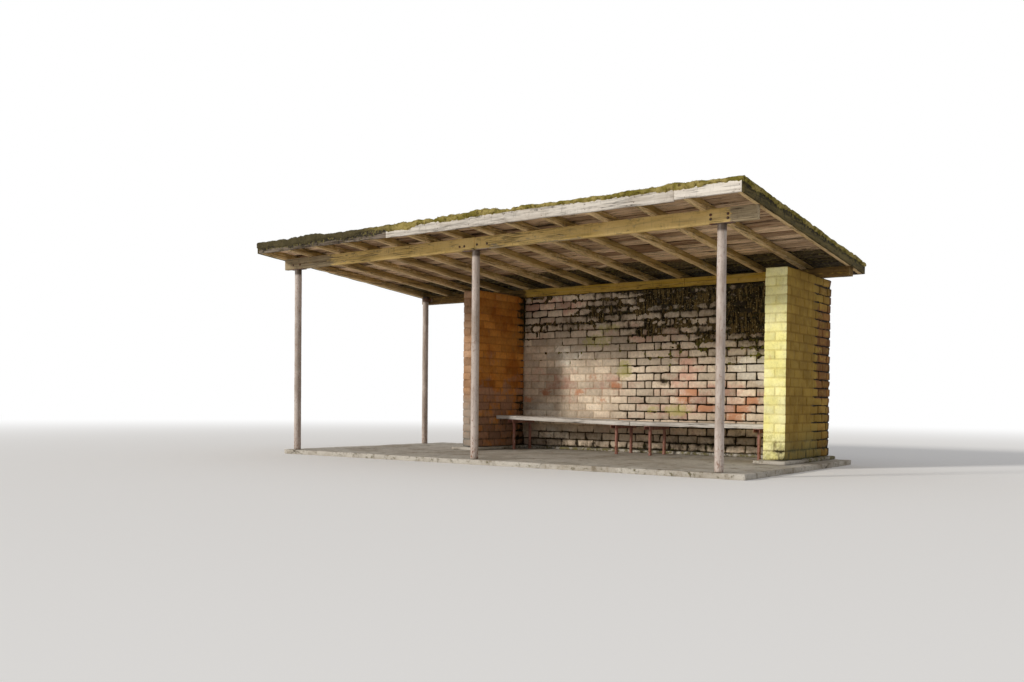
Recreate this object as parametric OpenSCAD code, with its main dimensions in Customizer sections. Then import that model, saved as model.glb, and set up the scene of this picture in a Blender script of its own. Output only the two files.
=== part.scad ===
// Roadside bus shelter: brick walls on three sides, steel pipe posts and a timber lean-to roof.
// The origin is on the ground under the middle of the roof. The open front faces -Y.

/* [Brickwork] */
// Length of the room between the side walls
room_w = 4000; // [3480:10:4260]
// Depth of the room from the side walls' ends to the back wall
room_d = 1065; // [900:5:1180]
// Height of the brick walls
wall_h = 2100; // [1900:100:2300]
// Thickness of the side walls
side_wall_t = 250; // [250:130:380]
// Thickness of the back wall
back_wall_t = 380; // [250:130:380]

/* [Floor] */
// Thickness of the concrete floor slab
slab_t = 60; // [50:10:120]
// Length of the floor slab
slab_l = 6400; // [6320:20:6500]
// How far the slab runs out in front of the front posts' axes
slab_margin = 80; // [60:10:160]
// Height of the footing strip that the walls stand on
footing_h = 40; // [30:10:80]
// How far the footing strip shows beside the walls
footing_margin = 60; // [30:10:70]
// How far the footing strip runs out in front of the side walls
footing_toe = 170; // [60:10:220]

/* [Posts] */
// Outside diameter of the steel posts
post_d = 89; // [76:1:114]
// Wall thickness of the steel posts
post_wall = 4; // [3:1:6]
// Distance between the front posts
post_spacing = 2970; // [2600:10:3000]
// Distance of the front posts in front of the back wall's inner face
post_reach = 2685; // [2200:5:2750]

/* [Beams] */
// Height of the front beam
beam_h = 140; // [120:5:160]
// Thickness of the front beam
beam_t = 60; // [50:5:80]
// Height of the rear beam on the back wall
plate_h = 110; // [90:5:130]
// Width of the rear beam
plate_w = 150; // [120:10:200]
// Clearance left where two lengths of timber meet
butt_gap = 3; // [1:1:5]

/* [Roof] */
// Length of the roof
roof_l = 6620; // [6600:20:6800]
// Depth of the roof from front to back
roof_d = 3590; // [3540:10:3700]
// How far the roof runs out past the back wall
rear_overhang = 80; // [70:10:160]
// Slope of the roof in degrees
roof_pitch = 5.2; // [3:0.1:7]
// Width of a rafter
rafter_w = 50; // [40:5:60]
// Depth of a rafter
rafter_h = 85; // [80:5:110]
// Number of roof boards
board_count = 19; // [16:1:24]
// Thickness of the roof boards
board_t = 22; // [20:1:30]
// Gap between roof boards
board_gap = 8; // [4:1:12]
// Thickness of the roofing felt
felt_t = 8; // [5:1:12]
// Thickness of the edge boards
edge_t = 25; // [20:1:32]
// Height of the edge boards
edge_h = 110; // [100:5:130]

/* [Benches] */
// Height of the seats above the floor slab
seat_h = 415; // [400:5:500]
// How much higher the left bench stands at its left end
seat_rise = 50; // [0:5:60]
// Thickness of a seat plank
plank_t = 50; // [40:5:60]
// Width of a seat plank
plank_w = 250; // [150:10:250]
// Gap between the two planks of a seat
plank_gap = 40; // [20:5:60]
// Outside diameter of the bench legs
leg_d = 34; // [27:1:42]

/* [Hidden] */

$fn = 48;
eps = 1;

// Levels from the ground up
slab_top = slab_t;
wall_base = slab_t + footing_h;
wall_top = wall_base + wall_h;
plate_top = wall_top + plate_h;

// Places from front to back
roof_front = -roof_d / 2;
roof_rear = roof_d / 2;
wall_rear = roof_rear - rear_overhang;
wall_face = wall_rear - back_wall_t;
wall_front = wall_face - room_d;
post_y = wall_face - post_reach;
rear_post_y = wall_face - post_d / 2;

// Places from left to right
post_mid_x = -65;
post_left_x = post_mid_x - post_spacing;
post_right_x = post_mid_x + post_spacing;
rear_post_x = post_left_x - 115;
room_left = -1310;
room_right = room_left + room_w;
wall_left = room_left - side_wall_t;
wall_right = room_right + side_wall_t;
beam_end = roof_l / 2 - 45;
plate_joint_left = -960;
plate_joint_right = 1190;

// The rafters are let in over both beams, by seat_cut at each beam's front edge
slope = tan(roof_pitch);
seat_cut = 6;
function underside(y) = plate_top - seat_cut + slope * (wall_face - y);
beam_front = post_y - beam_t / 2;
beam_rear = post_y + beam_t / 2;
beam_top = underside(beam_front) + seat_cut;
beam_bottom = beam_top - beam_h;

// Steel plates on the post tops
bracket_t = 6;
bracket_l = 240;
splice_l = 360;
bracket_up = 110;
strap_t = 5;
strap_h = 50;
strap_ear = 45;

// Roof edges
// The rafters were set by eye: how far each stands off its even place, from left to right
rafter_shift = [0, 0, 0, -20, -20, 0, -15, -60, -105, -125, -105, -60, -35, 0];
rafter_first = -roof_l / 2 + edge_t + rafter_w / 2;
rafter_step = (roof_l - 2 * edge_t - rafter_w) / (len(rafter_shift) - 1);
function rafter_x(number) = rafter_first + (number - 1) * rafter_step + rafter_shift[number - 1];
rafter_front = roof_front + edge_t;
rafter_rear = roof_rear - edge_t;
deck_depth = rafter_rear - rafter_front;
board_pitch = deck_depth / board_count;
fascia_joint_left = -1045;
fascia_joint_right = 2620;

// Benches along the back wall
bench_split = 790;
bench_gap = 10;
bench_left_start = room_left + bench_gap;
bench_left_end = bench_split - bench_gap / 2;
bench_right_start = bench_split + bench_gap / 2;
bench_right_end = room_right - bench_gap;
seat_front = wall_face - 660;
seat_rear = seat_front + 2 * plank_w + plank_gap;
bearer_w = 80;
bearer_h = 45;
bearer_t = 6;
bearer_inset = 10;
leg_inset = 100;
leg_spread = 370;
leg_end = 235;

// Height of the seat's top over the ground: level at the right, rising to the left end
function seat_top(x) = slab_top + seat_h
    + seat_rise * max(0, bench_left_end - x) / (bench_left_end - bench_left_start);

module slab_box(x0, x1, y0, y1, z0, z1) {
    translate([x0, y0, z0]) cube([x1 - x0, y1 - y0, z1 - z0]);
}

// A closed outline in the Y-Z plane, given as [y, z] points, drawn from x0 to x1
module side_profile(x0, x1, points) {
    translate([x0, 0, 0])
        rotate([90, 0, 90])
            linear_extrude(height = x1 - x0)
                polygon(points);
}

// Concrete floor under the posts, the walls and the open bay
module floor_slab() {
    color("silver")
        slab_box(-slab_l / 2, slab_l / 2, post_y - slab_margin, wall_rear + footing_margin, 0, slab_top);
}

// Concrete strip under the three walls
module wall_footing() {
    color("gainsboro")
        difference() {
            slab_box(wall_left - footing_margin, wall_right + footing_margin,
                wall_front - footing_toe, wall_rear + footing_margin, slab_top, wall_base);
            slab_box(room_left + footing_margin, room_right - footing_margin,
                wall_front - 2 * footing_toe, wall_face - footing_margin, slab_top - eps, wall_base + eps);
        }
}

module back_wall() {
    color("mistyrose")
        slab_box(wall_left, wall_right, wall_face, wall_rear, wall_base, wall_top);
}

module left_wall() {
    color("peru")
        slab_box(wall_left, room_left, wall_front, wall_face, wall_base, wall_top);
}

module right_wall() {
    color("khaki")
        slab_box(room_right, wall_right, wall_front, wall_face, wall_base, wall_top);
}

// Steel pipe, open at the foot
module post(x, y, top) {
    color("rosybrown")
        translate([x, y, slab_top])
            difference() {
                cylinder(d = post_d, h = top - slab_top);
                translate([0, 0, -eps]) cylinder(d = post_d - 2 * post_wall, h = top - slab_top + 2 * eps);
            }
}

module post_front_left() { post(post_left_x, post_y, beam_bottom - bracket_t); }
module post_front_middle() { post(post_mid_x, post_y, beam_bottom - bracket_t); }
module post_front_right() { post(post_right_x, post_y, beam_bottom - bracket_t); }
module post_rear_left() { post(rear_post_x, rear_post_y, plate_top); }

// Steel angle on a front post: a plate under the beam and a plate up its rear face
module beam_bracket(x, length) {
    color("dimgray")
        side_profile(x - length / 2, x + length / 2, [
            [beam_front, beam_bottom - bracket_t],
            [beam_rear + bracket_t, beam_bottom - bracket_t],
            [beam_rear + bracket_t, beam_bottom + bracket_up],
            [beam_rear, beam_bottom + bracket_up],
            [beam_rear, beam_bottom],
            [beam_front, beam_bottom]]);
}

module bracket_front_left() { beam_bracket(post_left_x, bracket_l); }
module bracket_front_middle() { beam_bracket(post_mid_x, splice_l); }
module bracket_front_right() { beam_bracket(post_right_x, bracket_l); }

// Steel strap round the rear post, with an ear each side on the rear beam's face
module bracket_rear_left() {
    outer_r = post_d / 2 + strap_t;
    color("dimgray")
        translate([rear_post_x, rear_post_y, wall_top + (plate_h - strap_h) / 2])
            difference() {
                union() {
                    cylinder(r = outer_r, h = strap_h);
                    slab_box(-outer_r, outer_r, 0, post_d / 2, 0, strap_h);
                    slab_box(-outer_r - strap_ear, outer_r + strap_ear,
                        post_d / 2 - strap_t, post_d / 2, 0, strap_h);
                }
                translate([0, 0, -eps]) cylinder(d = post_d, h = strap_h + 2 * eps);
                slab_box(-post_d / 2, post_d / 2, 0, outer_r + eps, -eps, strap_h + eps);
            }
}

module front_beam(x0, x1) {
    color("goldenrod")
        slab_box(x0, x1, beam_front, beam_rear, beam_bottom, beam_top);
}

module front_beam_left() { front_beam(-beam_end, post_mid_x - butt_gap / 2); }
module front_beam_right() { front_beam(post_mid_x + butt_gap / 2, beam_end); }

module rear_beam(x0, x1) {
    color("goldenrod")
        slab_box(x0, x1, wall_face, wall_face + plate_w, wall_top, plate_top);
}

module rear_beam_left() { rear_beam(-beam_end, plate_joint_left - butt_gap / 2); }
module rear_beam_middle() { rear_beam(plate_joint_left + butt_gap / 2, plate_joint_right - butt_gap / 2); }
module rear_beam_right() { rear_beam(plate_joint_right + butt_gap / 2, beam_end); }

// Rafter with level seat cuts over both beams and plumb ends
module rafter(number) {
    x = rafter_x(number);
    color("darkgoldenrod")
        side_profile(x - rafter_w / 2, x + rafter_w / 2, [
            [rafter_front, underside(rafter_front)],
            [beam_front, underside(beam_front)],
            [beam_front, beam_top],
            [beam_rear, beam_top],
            [beam_rear, underside(beam_rear)],
            [wall_face, underside(wall_face)],
            [wall_face, plate_top],
            [wall_face + plate_w, plate_top],
            [wall_face + plate_w, underside(wall_face + plate_w)],
            [rafter_rear, underside(rafter_rear)],
            [rafter_rear, underside(rafter_rear) + rafter_h],
            [rafter_front, underside(rafter_front) + rafter_h]]);
}

module rafter_01() { rafter(1); }
module rafter_02() { rafter(2); }
module rafter_03() { rafter(3); }
module rafter_04() { rafter(4); }
module rafter_05() { rafter(5); }
module rafter_06() { rafter(6); }
module rafter_07() { rafter(7); }
module rafter_08() { rafter(8); }
module rafter_09() { rafter(9); }
module rafter_10() { rafter(10); }
module rafter_11() { rafter(11); }
module rafter_12() { rafter(12); }
module rafter_13() { rafter(13); }
module rafter_14() { rafter(14); }

// A sloping layer on the roof, from height lo to height hi over the rafters' underside
module roof_layer(x0, x1, y0, y1, lo, hi) {
    side_profile(x0, x1, [
        [y0, underside(y0) + lo],
        [y1, underside(y1) + lo],
        [y1, underside(y1) + hi],
        [y0, underside(y0) + hi]]);
}

module roof_boards() {
    color("tan")
        for (i = [0 : board_count - 1]) {
            y0 = rafter_front + i * board_pitch;
            roof_layer(-roof_l / 2 + edge_t, roof_l / 2 - edge_t, y0 + board_gap / 2,
                y0 + board_pitch - board_gap / 2, rafter_h, rafter_h + board_t);
        }
}

module roof_felt() {
    color("darkolivegreen")
        roof_layer(-roof_l / 2, roof_l / 2, roof_front, roof_rear,
            rafter_h + board_t, rafter_h + board_t + felt_t);
}

// Upright board along the front or the rear edge, under the felt
module edge_board(x0, x1, y0) {
    color("whitesmoke")
        roof_layer(x0, x1, y0, y0 + edge_t, rafter_h + board_t - edge_h, rafter_h + board_t);
}

module fascia_left() { edge_board(-roof_l / 2 + edge_t, fascia_joint_left - butt_gap / 2, roof_front); }
module fascia_middle() {
    edge_board(fascia_joint_left + butt_gap / 2, fascia_joint_right - butt_gap / 2, roof_front);
}
module fascia_right() { edge_board(fascia_joint_right + butt_gap / 2, roof_l / 2 - edge_t, roof_front); }
module rear_edge_board() { edge_board(-roof_l / 2 + edge_t, roof_l / 2 - edge_t, roof_rear - edge_t); }

// Sloping board that closes the roof's end
module rake_board(x0) {
    color("olivedrab")
        roof_layer(x0, x0 + edge_t, roof_front, roof_rear,
            rafter_h + board_t - edge_h, rafter_h + board_t);
}

module rake_board_left() { rake_board(-roof_l / 2); }
module rake_board_right() { rake_board(roof_l / 2 - edge_t); }

// A closed outline in the X-Z plane, given as [x, z] points, drawn from y0 to y1
module front_profile(y0, y1, points) {
    translate([0, y1, 0])
        rotate([90, 0, 0])
            linear_extrude(height = y1 - y0)
                polygon(points);
}

// Two seat planks side by side
module seat(x0, x1) {
    color("lightgray")
        for (y0 = [seat_front, seat_rear - plank_w])
            front_profile(y0, y0 + plank_w, [
                [x0, seat_top(x0) - plank_t],
                [x1, seat_top(x1) - plank_t],
                [x1, seat_top(x1)],
                [x0, seat_top(x0)]]);
}

// Trestle: two pipe legs and a channel that carries the planks
module trestle(x) {
    x0 = x - bearer_w / 2;
    x1 = x + bearer_w / 2;
    top_0 = seat_top(x0) - plank_t;
    top_1 = seat_top(x1) - plank_t;
    color("indianred") {
        front_profile(seat_front + bearer_inset, seat_rear - bearer_inset, [
            [x0, top_0 - bearer_h],
            [x0 + bearer_t, top_0 - bearer_h],
            [x0 + bearer_t, top_0 - bearer_t],
            [x1 - bearer_t, top_1 - bearer_t],
            [x1 - bearer_t, top_1 - bearer_h],
            [x1, top_1 - bearer_h],
            [x1, top_1],
            [x0, top_0]]);
        for (y = [seat_front + leg_inset, seat_front + leg_inset + leg_spread])
            translate([x, y, slab_top])
                cylinder(d = leg_d, h = seat_top(x) - plank_t - bearer_t / 2 - slab_top, $fn = 32);
    }
}

module bench_frame(x0, x1) {
    trestle(x0 + leg_end);
    trestle(x1 - leg_end);
}

module bench_left_seat() { seat(bench_left_start, bench_left_end); }
module bench_right_seat() { seat(bench_right_start, bench_right_end); }
module bench_left_frame() { bench_frame(bench_left_start, bench_left_end); }
module bench_right_frame() { bench_frame(bench_right_start, bench_right_end); }

floor_slab();
wall_footing();
back_wall();
left_wall();
right_wall();
post_front_left();
post_front_middle();
post_front_right();
post_rear_left();
bracket_front_left();
bracket_front_middle();
bracket_front_right();
bracket_rear_left();
front_beam_left();
front_beam_right();
rear_beam_left();
rear_beam_middle();
rear_beam_right();
rafter_01();
rafter_02();
rafter_03();
rafter_04();
rafter_05();
rafter_06();
rafter_07();
rafter_08();
rafter_09();
rafter_10();
rafter_11();
rafter_12();
rafter_13();
rafter_14();
roof_boards();
roof_felt();
fascia_left();
fascia_middle();
fascia_right();
rear_edge_board();
rake_board_left();
rake_board_right();
bench_left_seat();
bench_right_seat();
bench_left_frame();
bench_right_frame();
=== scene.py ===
"""Looks of a roadside bus shelter: worn brickwork, weathered timber, moss, steel posts and benches.

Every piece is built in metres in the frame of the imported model, from the boxes of its solids.
"""

import functools
import itertools
import math

import bpy
import numpy as np
from mathutils import Matrix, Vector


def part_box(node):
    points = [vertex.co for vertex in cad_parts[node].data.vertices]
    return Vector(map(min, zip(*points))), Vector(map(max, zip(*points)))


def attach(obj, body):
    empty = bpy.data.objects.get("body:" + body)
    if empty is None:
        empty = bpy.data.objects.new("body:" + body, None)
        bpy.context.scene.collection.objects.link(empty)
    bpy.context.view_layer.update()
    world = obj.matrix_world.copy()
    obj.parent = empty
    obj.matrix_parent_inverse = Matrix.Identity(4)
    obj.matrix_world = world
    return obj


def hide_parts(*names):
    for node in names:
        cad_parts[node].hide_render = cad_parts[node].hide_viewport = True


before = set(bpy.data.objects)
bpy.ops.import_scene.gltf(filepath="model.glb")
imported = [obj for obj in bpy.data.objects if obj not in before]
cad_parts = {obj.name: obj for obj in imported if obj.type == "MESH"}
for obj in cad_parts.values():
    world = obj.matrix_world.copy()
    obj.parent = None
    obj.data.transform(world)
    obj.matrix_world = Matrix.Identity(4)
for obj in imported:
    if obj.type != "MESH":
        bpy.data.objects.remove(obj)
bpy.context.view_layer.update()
BODY = "root"


# Smooth noise

def smooth_noise(points, size, seed=0):
    """Smooth noise from -1 to 1, with features of that size in metres (one number or three)."""
    places = np.asarray(points, float) / np.asarray(size, float) + 7.31 * seed
    cell = np.floor(places).astype(np.int64)
    part = places - cell
    part = part * part * (3 - 2 * part)
    total = np.zeros(len(places))
    for corner in itertools.product((0, 1), repeat=3):
        # a value from -1 to 1 that depends only on the corner's place
        at = cell + corner
        mixed = (at[:, 0] * 73856093) ^ (at[:, 1] * 19349663) ^ (at[:, 2] * 83492791)
        mixed = (mixed ^ (mixed >> 13)) * 1274126177
        value = ((mixed ^ (mixed >> 16)) & 0xFFFF) / 32767.5 - 1
        weight = np.prod(np.where(corner, part, 1 - part), axis=1)
        total += weight * value
    return total


def rough_noise(points, size, octaves=3, seed=0):
    """Sum of smooth noises, each half the size and half the height of the one before."""
    total = np.zeros(len(points))
    for octave in range(octaves):
        total += smooth_noise(points, np.asarray(size) / 2 ** octave, seed + 11 * octave) / 2 ** octave
    return total / 1.5


def soft_step(value, low, high):
    """0 below low, 1 above high, smooth in between."""
    share = np.clip((value - low) / (high - low), 0, 1)
    return share * share * (3 - 2 * share)


def spots(along, up, places):
    """Soft round patches, each (along, up, half width, half height, strength)."""
    total = np.zeros(len(along))
    for centre, height, width, rise, strength in places:
        far = ((along - centre) / width) ** 2 + ((up - height) / rise) ** 2
        total = np.maximum(total, strength * np.exp(-far ** 1.5))
    return total


# Mesh toolbox

def points_at(x, y=0.0, z=0.0):
    """Points from their coordinates. A coordinate may be one number for all."""
    return np.stack(np.broadcast_arrays(x, y, z), -1)


@functools.lru_cache(maxsize=None)
def lattice(nx, ny, nz):
    """Places and outward quads of the surface of a box divided nx by ny by nz."""
    shape = (nx, ny, nz)
    axes = [range(count + 1) for count in shape]
    places = np.stack(np.meshgrid(*axes, indexing="ij"), -1)
    surface = ((places == 0) | (places == np.array(shape))).any(-1)
    index = np.full(surface.shape, -1)
    index[surface] = np.arange(surface.sum())
    quads = []
    for axis in range(3):
        for end in (0, shape[axis]):
            layer = np.take(index, end, axis)
            corners = (layer[:-1, :-1], layer[1:, :-1], layer[1:, 1:], layer[:-1, 1:])
            quad = np.stack(corners, -1).reshape(-1, 4)
            inward = (end == 0) != (axis == 1)
            quads.append(quad[:, ::-1] if inward else quad)
    return places[surface], np.concatenate(quads)


def stops(low, high, edge, step):
    """Places along a side: the ends, one by each rounded edge, and the rest about a step apart."""
    count = max(2, round((high - low - 2 * edge) / step) + 1)
    return np.concatenate([[low], np.linspace(low + edge, high - edge, count), [high]])


class Part:
    """A closed shape: points, quads, and named values at its points."""

    def __init__(self, points, quads):
        self.points = np.asarray(points, float)
        self.quads = np.asarray(quads)
        self.values = {}


def block_from(sides, edge):
    """Block with rounded edges, divided at the given places along each side."""
    places, quads = lattice(*[len(side) - 1 for side in sides])
    points = np.stack([np.asarray(sides[axis])[places[:, axis]] for axis in range(3)], -1)
    low = np.array([side[0] for side in sides]) + edge
    high = np.array([side[-1] for side in sides]) - edge
    core = np.clip(points, low, high)
    away = points - core
    reach = np.linalg.norm(away, axis=1, keepdims=True)
    points = core + away / np.maximum(reach, 1e-9) * edge
    return Part(points, quads)


def block(low, high, edge, steps):
    """Rounded block between two corners, divided about every step along each side."""
    return block_from([stops(low[i], high[i], edge, steps[i]) for i in range(3)], edge)


def tube(foot, profile, around):
    """Closed upright shape of revolution. profile is its (height, radius) pairs from the foot up."""
    angles = np.arange(around) * 2 * math.pi / around
    ring = np.stack([np.cos(angles), np.sin(angles)], -1)
    points = [[0, 0, profile[0][0]]]
    for level, wide in profile:
        points += [[x * wide, y * wide, level] for x, y in ring]
    points.append([0, 0, profile[-1][0]])
    quads = []
    last = len(profile) * around + 1
    for k in range(around):
        after = (k + 1) % around
        for level in range(len(profile) - 1):
            low, high = 1 + level * around, 1 + (level + 1) * around
            quads.append([low + k, low + after, high + after, high + k])
        quads.append([0, 1 + after, 1 + k, 1 + k])
        top = 1 + (len(profile) - 1) * around
        quads.append([last, top + k, top + after, top + after])
    return Part(np.array(points) + foot, quads)


def facing_front(part):
    """The upright part tipped over, so that its top points to the front."""
    part.points = part.points[:, [0, 2, 1]] * (1, -1, 1)
    return part


def triangles_and_quads(quads):
    """Faces as lists, where a quad with its last corner doubled is a triangle."""
    return [face[:3] if face[2] == face[3] else face for face in quads.tolist()]


def make(name, parts, material, nodes=(), sharp=38):
    """One mesh object from several parts, in place of CAD nodes or as an extra piece."""
    faces, first = [], 0
    for part in parts:
        faces += triangles_and_quads(part.quads + first)
        first += len(part.points)
    mesh = bpy.data.meshes.new(name)
    mesh.from_pydata(np.concatenate([part.points for part in parts]).tolist(), [], faces)
    for key in sorted(parts[0].values):
        data = np.concatenate([part.values[key] for part in parts]).astype(np.float32)
        kind, entry = ("FLOAT_VECTOR", "vector") if data.ndim == 2 else ("FLOAT", "value")
        mesh.attributes.new(key, kind, "POINT").data.foreach_set(entry, data.ravel())
    mesh.materials.append(material)
    mesh.shade_smooth()
    mesh.set_sharp_from_angle(angle=math.radians(sharp))
    mesh.update()
    piece = bpy.data.objects.new(name, mesh)
    bpy.context.scene.collection.objects.link(piece)
    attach(piece, BODY)
    if nodes:
        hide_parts(*nodes)


# Shader toolbox

def tint(red, green, blue):
    """A colour as it looks on screen, 0 to 255, as the linear colour that a node takes."""
    shares = [value / 255 for value in (red, green, blue)]
    return (*[s / 12.92 if s <= 0.04045 else ((s + 0.055) / 1.055) ** 2.4 for s in shares], 1)


class Value:
    """A number in a material, which adds, subtracts and multiplies like a plain one."""

    def __init__(self, shader, socket):
        self.shader = shader
        self.socket = socket

    def __add__(self, other):
        return self.shader.math("ADD", self, other)

    def __sub__(self, other):
        return self.shader.math("SUBTRACT", self, other)

    def __rsub__(self, other):
        return self.shader.math("SUBTRACT", other, self)

    def __mul__(self, other):
        return self.shader.math("MULTIPLY", self, other)


class Shader:
    """A material or a world under construction. Each call adds nodes and gives back their output."""

    def __init__(self, name, owners=bpy.data.materials):
        self.owner = owners.new(name)
        self.owner.use_nodes = True
        self.tree = self.owner.node_tree
        self.tree.nodes.clear()

    def node(self, kind, inputs=None, **settings):
        made = self.tree.nodes.new("ShaderNode" + kind)
        for key, value in settings.items():
            setattr(made, key, value)
        for key, value in (inputs or {}).items():
            if isinstance(value, Value):
                value = value.socket
            if isinstance(value, bpy.types.NodeSocket):
                self.tree.links.new(value, made.inputs[key])
            else:
                made.inputs[key].default_value = value
        return made

    @functools.cached_property
    def object(self):
        """Object coordinates in metres."""
        return self.node("TexCoord").outputs["Object"]

    def stretched(self, stretch, shift):
        """Object coordinates, drawn out along an axis by that much."""
        return self.node("Mapping", {"Vector": self.object, "Scale": tuple(1 / value for value in stretch),
                                     "Location": (shift, shift * 0.7, shift * 1.3)}).outputs[0]

    def noise(self, size, detail=3.0, rough=0.55, stretch=(1, 1, 1), shift=0.0, bend=0.0):
        """Noise from 0 to 1 with features of that size in metres."""
        inputs = {"Vector": self.stretched(stretch, shift), "Scale": 1 / size, "Detail": detail,
                  "Roughness": rough, "Distortion": bend}
        return Value(self, self.node("TexNoise", inputs).outputs[0])

    def cells(self, size, stretch=(1, 1, 1), shift=0.0):
        """Distance to the nearest cell's middle, in cells of that size."""
        inputs = {"Vector": self.stretched(stretch, shift), "Scale": 1 / size}
        return Value(self, self.node("TexVoronoi", inputs).outputs[0])

    def ramp(self, value, low, high, start=0.0, end=1.0):
        """Smooth step of a value from low to high."""
        made = self.node("MapRange", {0: value, 1: low, 2: high, 3: start, 4: end},
                         interpolation_type="SMOOTHSTEP")
        return Value(self, made.outputs[0])

    def math(self, operation, first, second=0.5):
        return Value(self, self.node("Math", {0: first, 1: second}, operation=operation).outputs[0])

    def mix(self, share, first, second, blend="MIX"):
        """Colour between first and second. The node's colour sockets are inputs 6 and 7, and output 2."""
        made = self.node("Mix", {0: share, 6: first, 7: second}, data_type="RGBA", blend_type=blend)
        return made.outputs[2]

    def stain(self, colour, value, low, high, strength, shade):
        """The colour, covered up to that strength with a shade where a value rises from low to high."""
        return self.mix(self.ramp(value, low, high, 0.0, strength), colour, shade)

    def attribute(self, name):
        return self.node("Attribute", attribute_name=name, attribute_type="GEOMETRY").outputs

    def value(self, name):
        """A named value of the mesh's points."""
        return Value(self, self.attribute(name)["Fac"])

    def axes(self, vector):
        """The x, y and z of a vector."""
        return [Value(self, output) for output in self.node("SeparateXYZ", {0: vector}).outputs]

    def done(self, colour, roughness, height, shine=0.1):
        """Ends the material. Height is in metres."""
        bump = self.node("Bump", {"Strength": 1.0, "Distance": 1.0, "Height": height})
        shader = self.node("BsdfPrincipled", {"Base Color": colour, "Roughness": roughness,
                                              "Normal": bump.outputs[0], "Specular IOR Level": shine})
        self.node("OutputMaterial", {"Surface": shader.outputs[0]})
        return self.owner


# Masonry

# Metres. MODULE is from joint to joint, LEAF a brick's width, and EMBED how deep a face brick is built.
COURSE, MODULE, JOINT = 0.1, 0.26, 0.012
HALF_BRICK, LEAF, EMBED, SHORTEST_BRICK = 0.13, 0.12, 0.05, 0.07
# Rounding of a sharp brick, what wear adds to it, and how far from an edge bricks chip
BRICK_EDGE, WORN_EDGE, CHIP_REACH = 0.003, 0.007, 0.025
# The mortar's divisions and rounding, how far it lies behind the bricks, and what wear adds to that
MORTAR_STEP, MORTAR_EDGE = 0.045, 0.002
MORTAR_DEPTH, WORN_DEPTH = 0.0032, 0.0115
# How far the back wall's end bricks stand before and behind its front face, on odd and even courses
END_OUT, END_IN = 0.019, 0.111
ALGAE_DARK, ALGAE_GREEN = tint(34, 27, 16), tint(70, 68, 26)


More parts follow.
